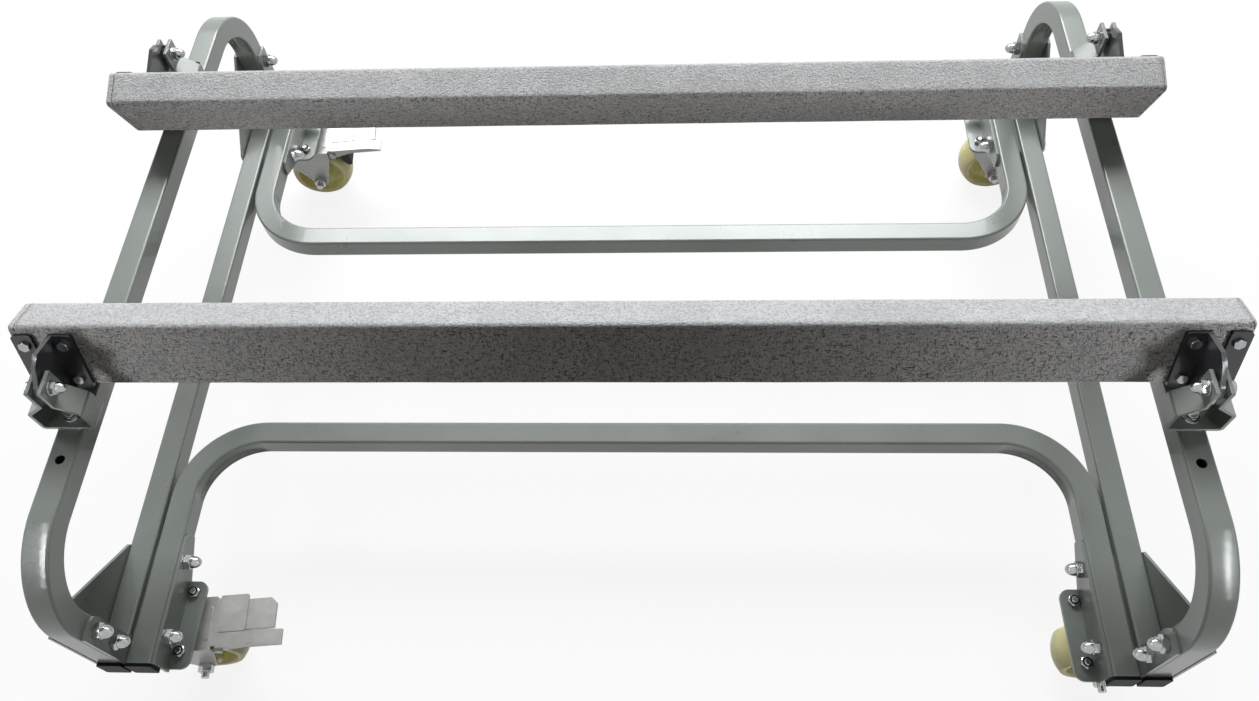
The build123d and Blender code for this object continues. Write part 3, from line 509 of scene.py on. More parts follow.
def plain_mesh(name, shape):
    """A mesh with a shape's faces. The shape is freed."""
    mesh = bpy.data.meshes.new(name)
    shape.to_mesh(mesh)
    shape.free()
    return mesh


def finished(name, mesh, body, slot, replaced=(), material=None, even=True):
    """A finished piece: shaded, in its body and in place of its nodes."""
    mesh.shade_smooth()
    mesh.set_sharp_from_angle(angle=math.radians(35))
    piece = new_object(name, mesh)
    mesh.materials.clear()
    mesh.materials.append(finish_of(material or slot))
    if even:
        piece.modifiers.new("Even shading", "WEIGHTED_NORMAL").keep_sharp = True
    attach(piece, body)
    if replaced:
        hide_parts(*replaced)
    return piece


def grown(source, tree_name, values):
    """The plain mesh that a node tree makes from an object, which is then removed."""
    tree = bpy.data.node_groups[tree_name]
    modifier = source.modifiers.new(tree_name, "NODES")
    modifier.node_group = tree
    for socket in tree.interface.items_tree:
        if socket.in_out == "INPUT" and socket.name in values:
            modifier[socket.identifier] = values[socket.name]
    graph = bpy.context.evaluated_depsgraph_get()
    mesh = bpy.data.meshes.new_from_object(source.evaluated_get(graph))
    source.modifiers.remove(modifier)
    bpy.data.objects.remove(source)
    if not mesh.polygons:
        raise RuntimeError(f"{tree_name} made no faces")
    return mesh


def marked_points(name, places):
    """Points with a facing and a radius each, for a node tree to read."""
    mesh = bpy.data.meshes.new(name)
    mesh.from_pydata([place for place, _, _ in places], [], [])
    mesh.attributes.new("facing", "FLOAT_VECTOR", "POINT")
    mesh.attributes.new("radius", "FLOAT", "POINT")
    for index, (_, way, size) in enumerate(places):
        mesh.attributes["facing"].data[index].vector = way
        mesh.attributes["radius"].data[index].value = size
    return new_object(name, mesh)


def sink_edge(shape, sink):
    """Lower a corner plate's upper edge where it lies between the tubes, as far as the hoop's leg."""
    leg_y = 0.4285
    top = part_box("left_base_tube")[1].z
    for point in shape.verts:
        if point.co.z < top and abs(point.co.y) < leg_y:
            point.co.z = min(point.co.z, top - sink)


def eased_copy(node, ease, slot, body, material=None, sink=0.0):
    """A copy of a node with its edges rounded, and the rounded faces marked for the edge colour, which is
    wear on the paint, dust on the rubber and a painted highlight on the paint and the zinc.
    """
    shape = bmesh.new()
    shape.from_mesh(NODES[node].data)
    mark = shape.faces.layers.float.new("edge")
    bmesh.ops.remove_doubles(shape, verts=shape.verts, dist=2e-6)
    if sink:
        sink_edge(shape, sink)
    flat, sharp = math.radians(0.4), math.radians(28)
    bmesh.ops.dissolve_limit(shape, angle_limit=flat, verts=shape.verts, edges=shape.edges)
    edges = [edge for edge in shape.edges if edge.is_manifold and edge.calc_face_angle() > sharp]
    rounded_off = bmesh.ops.bevel(shape, geom=edges, offset=ease, offset_type="OFFSET", segments=2,
                                  profile=0.5, affect="EDGES", clamp_overlap=True)
    for face in rounded_off["faces"]:
        face[mark] = 1.0
    name = f"{node}_eased"
    return finished(name, plain_mesh(name, shape), body, slot, (node,), material)


def rounded(points, radii, steps):
    """A polyline's points with its corners rounded to their own radii. A radius of 0 keeps the corner."""
    line = []
    count = len(points)
    for index, radius in enumerate(radii):
        here = Vector(points[index])
        if radius == 0:
            line.append(here)
            continue
        back = (Vector(points[(index - 1) % count]) - here).normalized()
        on = (Vector(points[(index + 1) % count]) - here).normalized()
        half = back.angle(on) / 2
        centre = here + (back + on).normalized() * radius / math.sin(half)
        start = here + back * radius / math.tan(half) - centre
        stop = here + on * radius / math.tan(half) - centre
        sweep = start.angle(stop)
        for step in range(steps + 1):
            first = math.sin(sweep * (steps - step) / steps) / math.sin(sweep)
            second = math.sin(sweep * step / steps) / math.sin(sweep)
            line.append(centre + start * first + stop * second)
    return line


def ring_mesh(name, rings, capped=True):
    """A skin over rings with the same count of points. Without caps, the last ring is the first again."""
    shape = bmesh.new()
    rows = [[shape.verts.new(point) for point in ring] for ring in rings]
    count = len(rows[0])
    for low, high in zip(rows, rows[1:]):
        for index in range(count):
            on = (index + 1) % count
            shape.faces.new((low[index], low[on], high[on], high[index]))
    if capped:
        shape.faces.new(rows[0][::-1])
        shape.faces.new(rows[-1])
    else:
        bmesh.ops.remove_doubles(shape, verts=shape.verts, dist=1e-6)
    bmesh.ops.recalc_face_normals(shape, faces=shape.faces)
    return plain_mesh(name, shape)


# Fasteners, each along Z with its seat at 0

TURNED_STEPS = 48
TURNED_ANGLES = [2 * math.pi * step / TURNED_STEPS for step in range(TURNED_STEPS)]


def turned_ring(radii, heights):
    return [(r * math.cos(a), r * math.sin(a), z) for r, z, a in zip(radii, heights, TURNED_ANGLES)]


def turned_rings(profile):
    """Rings about Z for a profile of radius and height."""
    return [turned_ring([r] * TURNED_STEPS, [z] * TURNED_STEPS) for r, z in profile]


def hex_rings(flats, bottom, top):
    """Rings about Z for a hexagon whose corners are chamfered like a turned nut."""
    reach = [flats / 2 / math.cos((a % (math.pi / 3)) - math.pi / 6) for a in TURNED_ANGLES]
    face = flats / 2 * 0.97
    slope = math.tan(math.radians(28))
    drop = [(r - face) * slope for r in reach]
    sides = [turned_ring(reach, [bottom + d for d in drop]), turned_ring(reach, [top - d for d in drop])]
    return turned_rings([(face, bottom)]) + sides + turned_rings([(face, top)])


def dome_profile(radius, foot, top):
    """A dome's radius and height from its foot to just short of its top."""
    steps = 8
    angles = [math.pi / 2 * step / steps for step in range(steps)]
    return [(radius * math.cos(a), foot + (top - foot) * math.sin(a)) for a in angles]


def head_pattern(name, flats, height, radius, length):
    """A hexagon bolt: its shank, a washer face, a chamfered head and a shallow dish on top."""
    lip, lip_height = flats / 2 * 0.94, height * 0.06
    rings = turned_rings([(radius * 0.8, -length), (radius, -length + radius * 0.2), (radius, 0), (lip, 0),
                          (lip, lip_height)])
    rings += hex_rings(flats, lip_height, height)
    rings += turned_rings([(flats * 0.40, height * 0.99), (flats * 0.30, height * 0.95)])
    return new_object(name, ring_mesh(name, rings))


def acorn_pattern(name, flats, nut, height):
    """An acorn nut: a chamfered hexagon under a turned neck and dome."""
    neck = flats * 0.45
    rings = hex_rings(flats, 0, nut)
    rings += turned_rings([(flats * 0.455, nut), (neck, nut + 0.0006)])
    rings += turned_rings(dome_profile(neck, nut + 0.0016, height - 0.0001) + [(flats * 0.02, height)])
    return new_object(name, ring_mesh(name, rings))


def nut_pattern(name, flats, height, radius, stub):
    """A lock nut: a hexagon under a turned collar, a groove for its insert and the bolt's end inside it."""
    collar = flats * 0.47
    groove = radius * 1.42
    floor = height - 0.0012
    rings = hex_rings(flats, 0, height * 0.70)
    rings += turned_rings([(collar, height * 0.72), (collar, height * 0.93), (collar * 0.95, height),
                           (groove, height), (groove, floor), (radius * 0.98, floor),
                           (radius * 0.98, height + stub * 0.3), (radius * 0.80, height + stub * 0.6)])
    return new_object(name, ring_mesh(name, rings))


def ring_pattern(name, inner, outer, thick):
    """A washer, spacer or insert with its edges eased."""
    ease = min(0.0003, thick / 4)
    profile = [(inner, 0), (outer - ease, 0), (outer, ease), (outer, thick - ease), (outer - ease, thick),
               (inner + ease, thick), (inner, thick - ease)]
    return new_object(name, ring_mesh(name, turned_rings(profile + profile[:1]), capped=False))


def fasten(name, pattern, places, body, replaced=(), slot="bright_zinc", seed=0):
    """The same fastener at every place of one body, as one piece. Then its pattern is removed."""
    settings = bpy.context.scene.dolly_fasteners
    points = marked_points(f"{name}_points", [(place, way, 0.0) for place, way in places])
    mesh = grown(points, "fasteners", {
        "Fastener": pattern, "Seed": settings.seed + seed, "Plating": finish_of(slot)})
    mesh.name = name
    bpy.data.objects.remove(pattern)
    return finished(name, mesh, body, slot, replaced)


# Operators, one for each group of like pieces


class DOLLY_OT_finishes(bpy.types.Operator):
    """Make the shared effects, the node trees and every finish of the dolly"""
    bl_idname = "dolly.finishes"
    bl_label = "Finishes"

    def execute(self, context):
        scene = context.scene
        mottle_group()
        edge_group()
        bent_tube_tree()
        fastener_tree()
        paint_material("frame_paint", scene.dolly_tubes.paint, (0.45, 0.47, 0.44))
        # The bunk brackets: the frame's paint made near black as painted shade, with light edges as a painted
        # highlight.
        paint_material("bracket_painted_shade", scene.dolly_plates.bracket, (0.30, 0.31, 0.31))
        bright_material(scene.dolly_fasteners.plating)
        zinc_material(scene.dolly_plates.zinc)
        plastic_material()
        wheel_material(scene.dolly_wheels.cream)
        carpet_material(scene.dolly_bunks.light, scene.dolly_bunks.dark)
        timber_material()
        rubber_material()
        return {"FINISHED"}


class DOLLY_OT_tubes(bpy.types.Operator):
    """Sweep the base tubes, the cross tubes and the upright hoops along their bends, and drill them"""
    bl_idname = "dolly.tubes"
    bl_label = "Frame tubes"

    def crease(self, settings, mesh, before, here, after):
        """Draw in the inner wall of one bend, as a bender does, and mark its two shoulders for a painted
        highlight streak.
        """
        back, on = (before - here).normalized(), (after - here).normalized()
        centre = here + (back + on) * settings.bend
        axis = back.cross(on)
        half = settings.size / 2 - settings.corner
        inner_wall = settings.bend - settings.size * 0.3
        cuts, slope, fade = 9, 0.55, 0.6
        shoulder_low, shoulder_high = half * 0.6, half * 0.8
        shape = bmesh.new()
        shape.from_mesh(mesh)
        mark = shape.faces.layers.float.get("edge") or shape.faces.layers.float.new("edge")

        def spot(point):
            """A point's radius, angle and height in the bend, and if it lies on the inner wall."""
            first, second = (centre - point).dot(on), (centre - point).dot(back)
            radius = math.hypot(first, second)
            inside = first > 0 and second > 0 and radius < inner_wall
            return radius, math.atan2(second, first), (point - centre).dot(axis), inside

        crossing = set()
        for face in shape.faces:
            _, _, height, inside = spot(face.calc_center_median())
            if inside and abs(height) < half / 4 and abs(face.normal.dot(axis)) < 0.1:
                crossing.update(edge for edge in face.edges
                                if abs((edge.verts[1].co - edge.verts[0].co).normalized().dot(axis)) > 0.9)
        bmesh.ops.subdivide_edges(shape, edges=list(crossing), cuts=cuts, use_grid_fill=True)
        for point in shape.verts:
            radius, angle, height, inside = spot(point.co)
            if inside and abs(height) < half:
                rise = min(1.0, max(0.0, (1 - abs(height) / half) / slope))
                depth = settings.crease * rise * rise * (3 - 2 * rise) * math.sin(2 * angle) ** fade
                level = point.co - axis * height
                point.co += (level - centre) / radius * depth
        # The marked shoulders take the paint's light edge colour: a painted highlight streak along the bend.
        for face in shape.faces:
            _, angle, height, inside = spot(face.calc_center_median())
            if inside and shoulder_low < abs(height) < shoulder_high and math.sin(2 * angle) > 0.2:
                face[mark] = 1.0
        shape.to_mesh(mesh)
        shape.free()

    def sweep(self, context, node, corners, holes):
        """One tube along its corners. Its bore runs on past both ends, so that they are open."""
        settings = context.scene.dolly_tubes
        overrun = 0.01
        path = [Vector(corner) for corner in corners]
        path[0] += (path[0] - path[1]).normalized() * overrun
        path[-1] += (path[-1] - path[-2]).normalized() * overrun
        curve = bpy.data.curves.new(f"{node}_path", "CURVE")
        curve.dimensions = "3D"
        curve.twist_mode = "Z_UP"
        spline = curve.splines.new("POLY")
        spline.points.add(len(path) - 1)
        for point, corner in zip(spline.points, path):
            point.co = (*corner, 1)
        drill = marked_points(f"{node}_drill", holes)
        mesh = grown(new_object(f"{node}_path", curve), "bent_tube", {
            "Size": settings.size, "Wall": settings.wall, "Corner": settings.corner, "Bend": settings.bend,
            "Steps": settings.bend_steps, "Overrun": overrun, "Drill": drill,
            "Paint": finish_of("frame_paint")})
        bpy.data.objects.remove(drill)
        for before, here, after in zip(path, path[1:], path[2:]):
            self.crease(settings, mesh, before, here, after)
        finished(f"{node}_swept", mesh, "frame", "frame_paint", (node,))

    def execute(self, context):
        half = context.scene.dolly_tubes.size / 2
        both = (-1, 1)
        for name in SIDES:
            low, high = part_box(f"{name}_base_tube")
            at = (low + high) / 2
            holes = [((at.x, end * y, at.z), ACROSS, FRAME_HOLE_RADIUS)
                     for end in both for y in BRACKET_BOLT_YS]
            self.sweep(context, f"{name}_base_tube", [(at.x, low.y, at.z), (at.x, high.y, at.z)], holes)
        for name, end in ENDS.items():
            low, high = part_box(f"{name}_cross_tube")
            z = (low.z + high.z) / 2
            leg = high.x - half
            bar, tip = (high.y - half, low.y) if end < 0 else (low.y + half, high.y)
            holes = [((side * leg, end * y, z), ACROSS, FRAME_HOLE_RADIUS)
                     for side in both for y in BRACKET_BOLT_YS]
            self.sweep(context, f"{name}_cross_tube",
                       [(-leg, tip, z), (-leg, bar, z), (leg, bar, z), (leg, tip, z)], holes)
        for name in SIDES:
            low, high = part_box(f"{name}_hoop")
            x = (low.x + high.x) / 2
            leg = high.y - half
            rail = high.z - half
            holes = [((x, end * leg, low.z + rise), ACROSS, FRAME_HOLE_RADIUS)
                     for end in both for rise in CORNER_BOLT_RISES]
            for y, radius in ((RAIL_HOLE_Y, RAIL_HOLE_RADIUS), (PIVOT_Y, SMALL_HOLE_RADIUS)):
                holes += [((x, end * y, rail), UPRIGHT, radius) for end in both]
            self.sweep(context, f"{name}_hoop",
                       [(x, -leg, low.z), (x, -leg, rail), (x, leg, rail), (x, leg, low.z)], holes)
        return {"FINISHED"}


class DOLLY_OT_plates(bpy.types.Operator):
    """Ease the edges of the gussets, corner plates, caster brackets, saddles and tube plugs"""
    bl_idname = "dolly.plates"
    bl_label = "Plates and plugs"

    def execute(self, context):
        settings = context.scene.dolly_plates
        for corner, _, _ in CORNERS:
            for plate in ("gusset", "caster_bracket"):
                eased_copy(f"{corner}_{plate}", settings.ease, "frame_paint", "frame")
            eased_copy(f"{corner}_corner_plate", settings.ease, "frame_paint", "frame", sink=settings.sink)
            eased_copy(f"{corner}_saddle", settings.sheet_ease, "frame_paint", "frame")
        eased_copy("tube_end_plugs", settings.plug_ease, "black_plastic", "frame")
        return {"FINISHED"}


class DOLLY_OT_fasteners(bpy.types.Operator):
    """Put bolts, acorn nuts, lock nuts, washers and spacers on the frame"""
    bl_idname = "dolly.fasteners"
    bl_label = "Frame fasteners"

    def frame_bolts(self, sizes, name, heads, grip, seed):
        """Large bolts, with an acorn nut on the far side of what each one holds."""
        into_nut = 0.0125
        nuts = [(place - way * grip, -way) for place, way in heads]
        bolt = head_pattern(f"{name}_bolt", sizes.frame_flats, sizes.frame_head, sizes.frame_radius,
                            grip + into_nut)
        fasten(f"{name}_bolt_shanks", bolt, heads, "frame", (f"{name}_bolts",), seed=seed)
        acorn = acorn_pattern(f"{name}_acorn", sizes.frame_flats, sizes.frame_nut, sizes.frame_acorn)
        fasten(f"{name}_acorn_nuts", acorn, nuts, "frame", seed=seed + 1)

    def small_bolts(self, sizes, name, heads, length, seed):
        bolt = head_pattern(f"{name}_bolt", sizes.flats, sizes.head, sizes.bolt_radius, length)
        fasten(f"{name}_bolt_shanks", bolt, heads, "frame", (f"{name}_bolts",), seed=seed)

    def lock_nuts(self, sizes, name, nuts, seed):
        stub = 0.0025
        nut = nut_pattern(f"{name}_nut", sizes.flats, sizes.nut, sizes.bolt_radius, stub)
        fasten(f"{name}_nuts", nut, nuts, "frame", seed=seed)

    def washers(self, sizes, name, places, thick, seed):
        ring = ring_pattern(name, SMALL_HOLE_RADIUS, sizes.washer, thick)
        fasten(f"{name}s", ring, places, "frame", seed=seed)

    def tube_bolts(self, sizes, tube):
        """The bolts through the hoop legs, and those through the lower tubes and the caster brackets."""
        low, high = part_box("left_base_tube")
        face = PLATE_THICK - low.x
        base_z = (low.z + high.z) / 2
        leg_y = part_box("left_hoop")[1].y - tube / 2
        corner, bracket = [], []
        for _, end, side in CORNERS:
            out = Vector((side, 0, 0))
            for rise in CORNER_BOLT_RISES:
                corner.append((Vector((side * face, end * leg_y, high.z + rise)), out))
            for y in BRACKET_BOLT_YS:
                bracket.append((Vector((side * face, end * y, base_z)), out))
        self.frame_bolts(sizes, "corner", corner, grip=tube + 2 * PLATE_THICK, seed=0)
        self.frame_bolts(sizes, "bracket", bracket, grip=2 * tube + 3 * PLATE_THICK, seed=2)

    def caster_bolts(self, sizes):
        caster_plate, half_x, half_y = 0.003, 0.023, 0.0365
        insert_depth, insert_thick, insert_radius = 0.001, 0.0011, sizes.bolt_radius * 1.4
        heads, nuts = [], []
        for corner, _, _ in CORNERS:
            plate = middle(f"{corner}_caster_plate")
            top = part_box(f"{corner}_caster_plate")[1].z
            for x in (-half_x, half_x):
                for y in (-half_y, half_y):
                    heads.append((Vector((plate.x + x, plate.y + y, top - caster_plate)), -UPRIGHT))
                    nuts.append((Vector((plate.x + x, plate.y + y, top + PLATE_THICK)), UPRIGHT))
        self.small_bolts(sizes, "caster", heads, length=0.012, seed=4)
        self.lock_nuts(sizes, "caster", nuts, seed=5)
        inserts = [(place + way * (sizes.nut - insert_depth), way) for place, way in nuts]
        insert = ring_pattern("caster_insert", sizes.bolt_radius, insert_radius, insert_thick)
        fasten("caster_nut_inserts", insert, inserts, "frame", slot="black_plastic", seed=13)

    def saddle_bolts(self, sizes, tube):
        heads, nuts, washers = [], [], []
        for corner, _, _ in CORNERS:
            foot = middle(f"{corner}_saddle")
            foot.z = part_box(f"{corner}_saddle")[0].z
            washers.append((foot + UPRIGHT * PLATE_THICK, UPRIGHT))
            heads.append((foot + UPRIGHT * (PLATE_THICK + WASHER_THICK + SEAT_GAP), UPRIGHT))
            nuts.append((foot - UPRIGHT * tube, -UPRIGHT))
        self.small_bolts(sizes, "saddle", heads, length=0.042, seed=6)
        self.lock_nuts(sizes, "saddle", nuts, seed=7)
        self.washers(sizes, "saddle_washer", washers, WASHER_THICK, seed=8)

    def pivot_bolts(self, sizes):
        ear_inside, ear_outside, spacer = 0.005, 0.009, 0.00235
        seat = ear_outside + WASHER_THICK + SEAT_GAP
        heads, acorns, washers, spacers = [], [], [], []
        for corner, end, side in CORNERS:
            pivot = Vector((middle(f"{corner}_saddle").x, end * PIVOT_Y, PIVOT_Z))
            for way in (-ACROSS, ACROSS):
                washers.append((pivot + way * ear_outside, way))
                spacers.append((pivot + way * ear_inside, -way))
            out = Vector((side, 0, 0))
            heads.append((pivot + out * seat, out))
            acorns.append((pivot - out * seat, -out))
        self.small_bolts(sizes, "pivot", heads, length=0.0297, seed=9)
        acorn = acorn_pattern("pivot_acorn", sizes.flats, sizes.nut, sizes.acorn)
        fasten("pivot_acorn_nuts", acorn, acorns, "frame", seed=10)
        self.washers(sizes, "pivot_washer", washers, WASHER_THICK, seed=11)
        self.washers(sizes, "pivot_spacer", spacers, spacer, seed=12)

    def execute(self, context):
        sizes = context.scene.dolly_fasteners
        tube = context.scene.dolly_tubes.size
        self.tube_bolts(sizes, tube)
        self.caster_bolts(sizes)
        self.saddle_bolts(sizes, tube)
        self.pivot_bolts(sizes)
        return {"FINISHED"}


class DOLLY_OT_casters(bpy.types.Operator):
    """Finish the casters: top plates, kingpins, forks, axles, cast wheels, brake pedals and shoes"""
    bl_idname = "dolly.casters"
    bl_label = "Casters"

    def wheel(self, context, corner, side):
        """A cast wheel about its axle: a hub, a thin web, a rim and a crowned tread."""
        settings = context.scene.dolly_wheels
        node = f"{corner}_wheel"
        at = middle(node)
        turn = settings.turn if side < 0 else 0.0
        along = Vector((math.cos(turn), math.sin(turn), 0))
        axle = Vector((-math.sin(turn), math.cos(turn), 0))
        big = span(node).z / 2
        bore, hub, rim, shoulder = 0.00806, 0.018, big - 0.014, big - settings.crown
        hub_draft, rim_draft = 0.0015, 0.001
        tread, web = settings.width / 2, 0.007
        ease, bore_ease = settings.ease, 0.0006
        sweep = (tread ** 2 + settings.crown ** 2) / (2 * settings.crown)
        reach = math.asin(tread / sweep)
        crown_angles = [reach * step / 8 for step in range(-7, 8)]
        crown = [(sweep * math.sin(a), big - sweep * (1 - math.cos(a)), 0) for a in crown_angles]
        half = [(settings.hub / 2, bore, bore_ease), (settings.hub / 2, hub, ease),
                (web, hub + hub_draft, ease), (web, rim - rim_draft, ease),
                (tread, rim, ease), (tread, shoulder, settings.tread)]
        outline = [(-y, r, size) for y, r, size in half] + crown + half[::-1]
        line = rounded([(y, r) for y, r, _ in outline], [size for _, _, size in outline], steps=4)
        steps = 96
        angles = [2 * math.pi * step / steps for step in range(steps)]
        rings = [[at + axle * y + along * r * math.sin(a) + Vector((0, 0, r * math.cos(a))) for a in angles]
                 for y, r in line + line[:1]]
        mesh = ring_mesh(f"{corner}_cast_wheel", rings, capped=False)
        finished(f"{corner}_cast_wheel", mesh, f"{corner}_wheel", "cream_wheel", (node,), even=False)

    def execute(self, context):
        plates = context.scene.dolly_plates
        eased_copy("caster_kingpins", plates.ease, "bright_zinc", "frame")
        for corner, _, side in CORNERS:
            eased_copy(f"{corner}_caster_plate", plates.ease, "zinc_steel", "frame")
            eased_copy(f"{corner}_fork", plates.sheet_ease, "zinc_steel", f"{corner}_fork")
            self.wheel(context, corner, side)
            eased_copy(f"{corner}_axle", plates.ease, "bright_zinc", f"{corner}_fork")
            if side < 0:
                eased_copy(f"{corner}_brake_pedal", plates.sheet_ease, "zinc_steel", f"{corner}_brake")
                eased_copy(f"{corner}_brake_shoe", plates.ease, "brake_rubber", f"{corner}_brake")
        return {"FINISHED"}


class DOLLY_OT_bunks(bpy.types.Operator):
    """Wrap the bunk boards in carpet and fit their brackets and screws"""
    bl_idname = "dolly.bunks"
    bl_label = "Bunks"

    def frame_of(self, settings, end):
        """The pivot, the way up along a bunk and the way out from its outer face."""
        pivot = Vector((0, end * PIVOT_Y, PIVOT_Z))
        up = Vector((0, -end * math.sin(settings.lean), math.cos(settings.lean)))
        out = Vector((0, end * math.cos(settings.lean), math.sin(settings.lean)))
        return pivot, up, out

    def centre(self, settings):
        """The middle of a bunk's section, out and up from the pivot."""
        return Vector((-settings.stand_off - settings.thick / 2, settings.wide / 2 - settings.below))

    def outline(self, settings, inset):
        """The carpet's outline about the pivot, out and up, from one edge of the seam round to the other."""
        out_face = -settings.stand_off - inset
        in_face = -settings.stand_off - settings.thick + inset
        low = -settings.below + inset
        high = settings.wide - settings.below - inset
        seam = (out_face + in_face) / 2
        gap = settings.seam / 2
        radius = max(settings.edge - inset, 0.001)
        corners = [(seam + gap, low), (out_face, low), (out_face, high), (in_face, high), (in_face, low),
                   (seam - gap, low)]
        return [Vector(point) for point in rounded(corners, [0, radius, radius, radius, radius, 0], steps=6)]

    def wrap(self, context, name, end):
        """The carpet round one board, with its soft unevenness, and the patches over its ends."""
        settings = context.scene.dolly_bunks
        pivot, up, out = self.frame_of(settings, end)
        centre = self.centre(settings)
        half = span(f"{name}_bunk_carpet").x / 2 - settings.carpet
        spacing, stations = 0.006, 200
        tuck, board_gap = 0.00030, 0.0007
        ripples = ((14.0, 0.00022), (60.0, 0.00012))
        line = self.outline(settings, 0)
        dense = []
        for first, second in zip(line, line[1:]):
            parts = max(1, round((second - first).length / spacing))
            dense += [first.lerp(second, part / parts) for part in range(parts)]
        dense.append(line[-1])
        start = settings.fold - half
        shape = bmesh.new()
        rows = []
        for station in range(stations + 1):
            along = Vector((start + (half - start) * station / stations, 0, 0))
            row = []
            for point in dense:
                place = pivot + out * point.x + up * point.y + along
                wave = sum(noise.noise(place * scale) * height for scale, height in ripples)
                moved = point + (centre - point).normalized() * (tuck + wave)
                row.append(shape.verts.new(pivot + out * moved.x + up * moved.y + along))
            rows.append(row)
        for low, high in zip(rows, rows[1:]):
            for index in range(len(dense) - 1):
                shape.faces.new((low[index], low[index + 1], high[index + 1], high[index]))
        bmesh.ops.recalc_face_normals(shape, faces=shape.faces)
        outside = pivot - out * settings.stand_off + up * centre.y
        nearest = min(shape.faces, key=lambda face: (face.calc_center_median() - outside).length)
        if nearest.normal.dot(out) < 0:
            bmesh.ops.reverse_faces(shape, faces=shape.faces)
        mesh = plain_mesh(f"{name}_carpet_wrap", shape)
        piece = finished(f"{name}_carpet_wrap", mesh, f"{name}_bunk", "marine_carpet",
                         (f"{name}_bunk_carpet",), even=False)
        wall = piece.modifiers.new("Pile", "SOLIDIFY")
        wall.thickness = settings.carpet - board_gap
        wall.offset = -1.0
        wall.use_even_offset = True
        patches = [self.patch(settings, name, end, side, half) for side in SIDES]

    def patch(self, settings, name, end, side, half):
        """The carpet glued over one end of a board, with its own rounded edge."""
        way = SIDES[side]
        pivot, up, out = self.frame_of(settings, end)
        centre = self.centre(settings)
        inset = 0.0003
        line = self.outline(settings, inset)
        clear, overlap = 0.0004, 0.0010
        soft = settings.carpet - clear
        edge = clear if way > 0 else overlap - settings.fold
        rings = []
        for along, shrink in ((edge, inset), (edge + 0.0008, -0.00005), (soft * 0.6, 0.0002),
                              (soft * 0.85, 0.0008), (soft, 0.0022), (soft, 0.006)):
            ring = []
            for point in line:
                moved = point + (centre - point).normalized() * shrink
                ring.append(pivot + out * moved.x + up * moved.y + Vector((way * (half + along), 0, 0)))
            rings.append(ring)
        mesh = ring_mesh(f"{name}_{side}_carpet_end", rings)
        return finished(f"{name}_{side}_carpet_end", mesh, f"{name}_bunk", "marine_carpet")

    def screws(self, settings, name, end):
        """The four screws of each bunk bracket."""
        pivot, up, out = self.frame_of(settings, end)
        bracket_x, bracket_rise, half_x, half_rise = 0.605, 0.036, 0.021, 0.023
        face = pivot + out * (PLATE_THICK - settings.stand_off)
        places = []
        for side in SIDES.values():
            for x in (-half_x, half_x):
                for rise in (-half_rise, half_rise):
                    spot = face + up * (bracket_rise - settings.below + rise)
                    places.append((spot + Vector((side * bracket_x + x, 0, 0)), out))
        screw = head_pattern(f"{name}_screw", flats=0.011, height=0.0035, radius=0.0025, length=0.0335)
        fasten(f"{name}_bunk_screw_heads", screw, places, f"{name}_bunk", (f"{name}_bunk_screws",))

    def execute(self, context):
        settings = context.scene.dolly_bunks
        ease = context.scene.dolly_plates.sheet_ease
        for name, end in ENDS.items():
            self.wrap(context, name, end)
            board = NODES[f"{name}_bunk_board"]
            board.data.materials.clear()
            board.data.materials.append(finish_of("board_timber"))
            for side in SIDES:
                # The brackets take the dark painted-shade finish.
                eased_copy(f"{name}_{side}_bunk_bracket", ease, "frame_paint", f"{name}_bunk",
                           material="bracket_painted_shade")
            self.screws(settings, name, end)
        return {"FINISHED"}


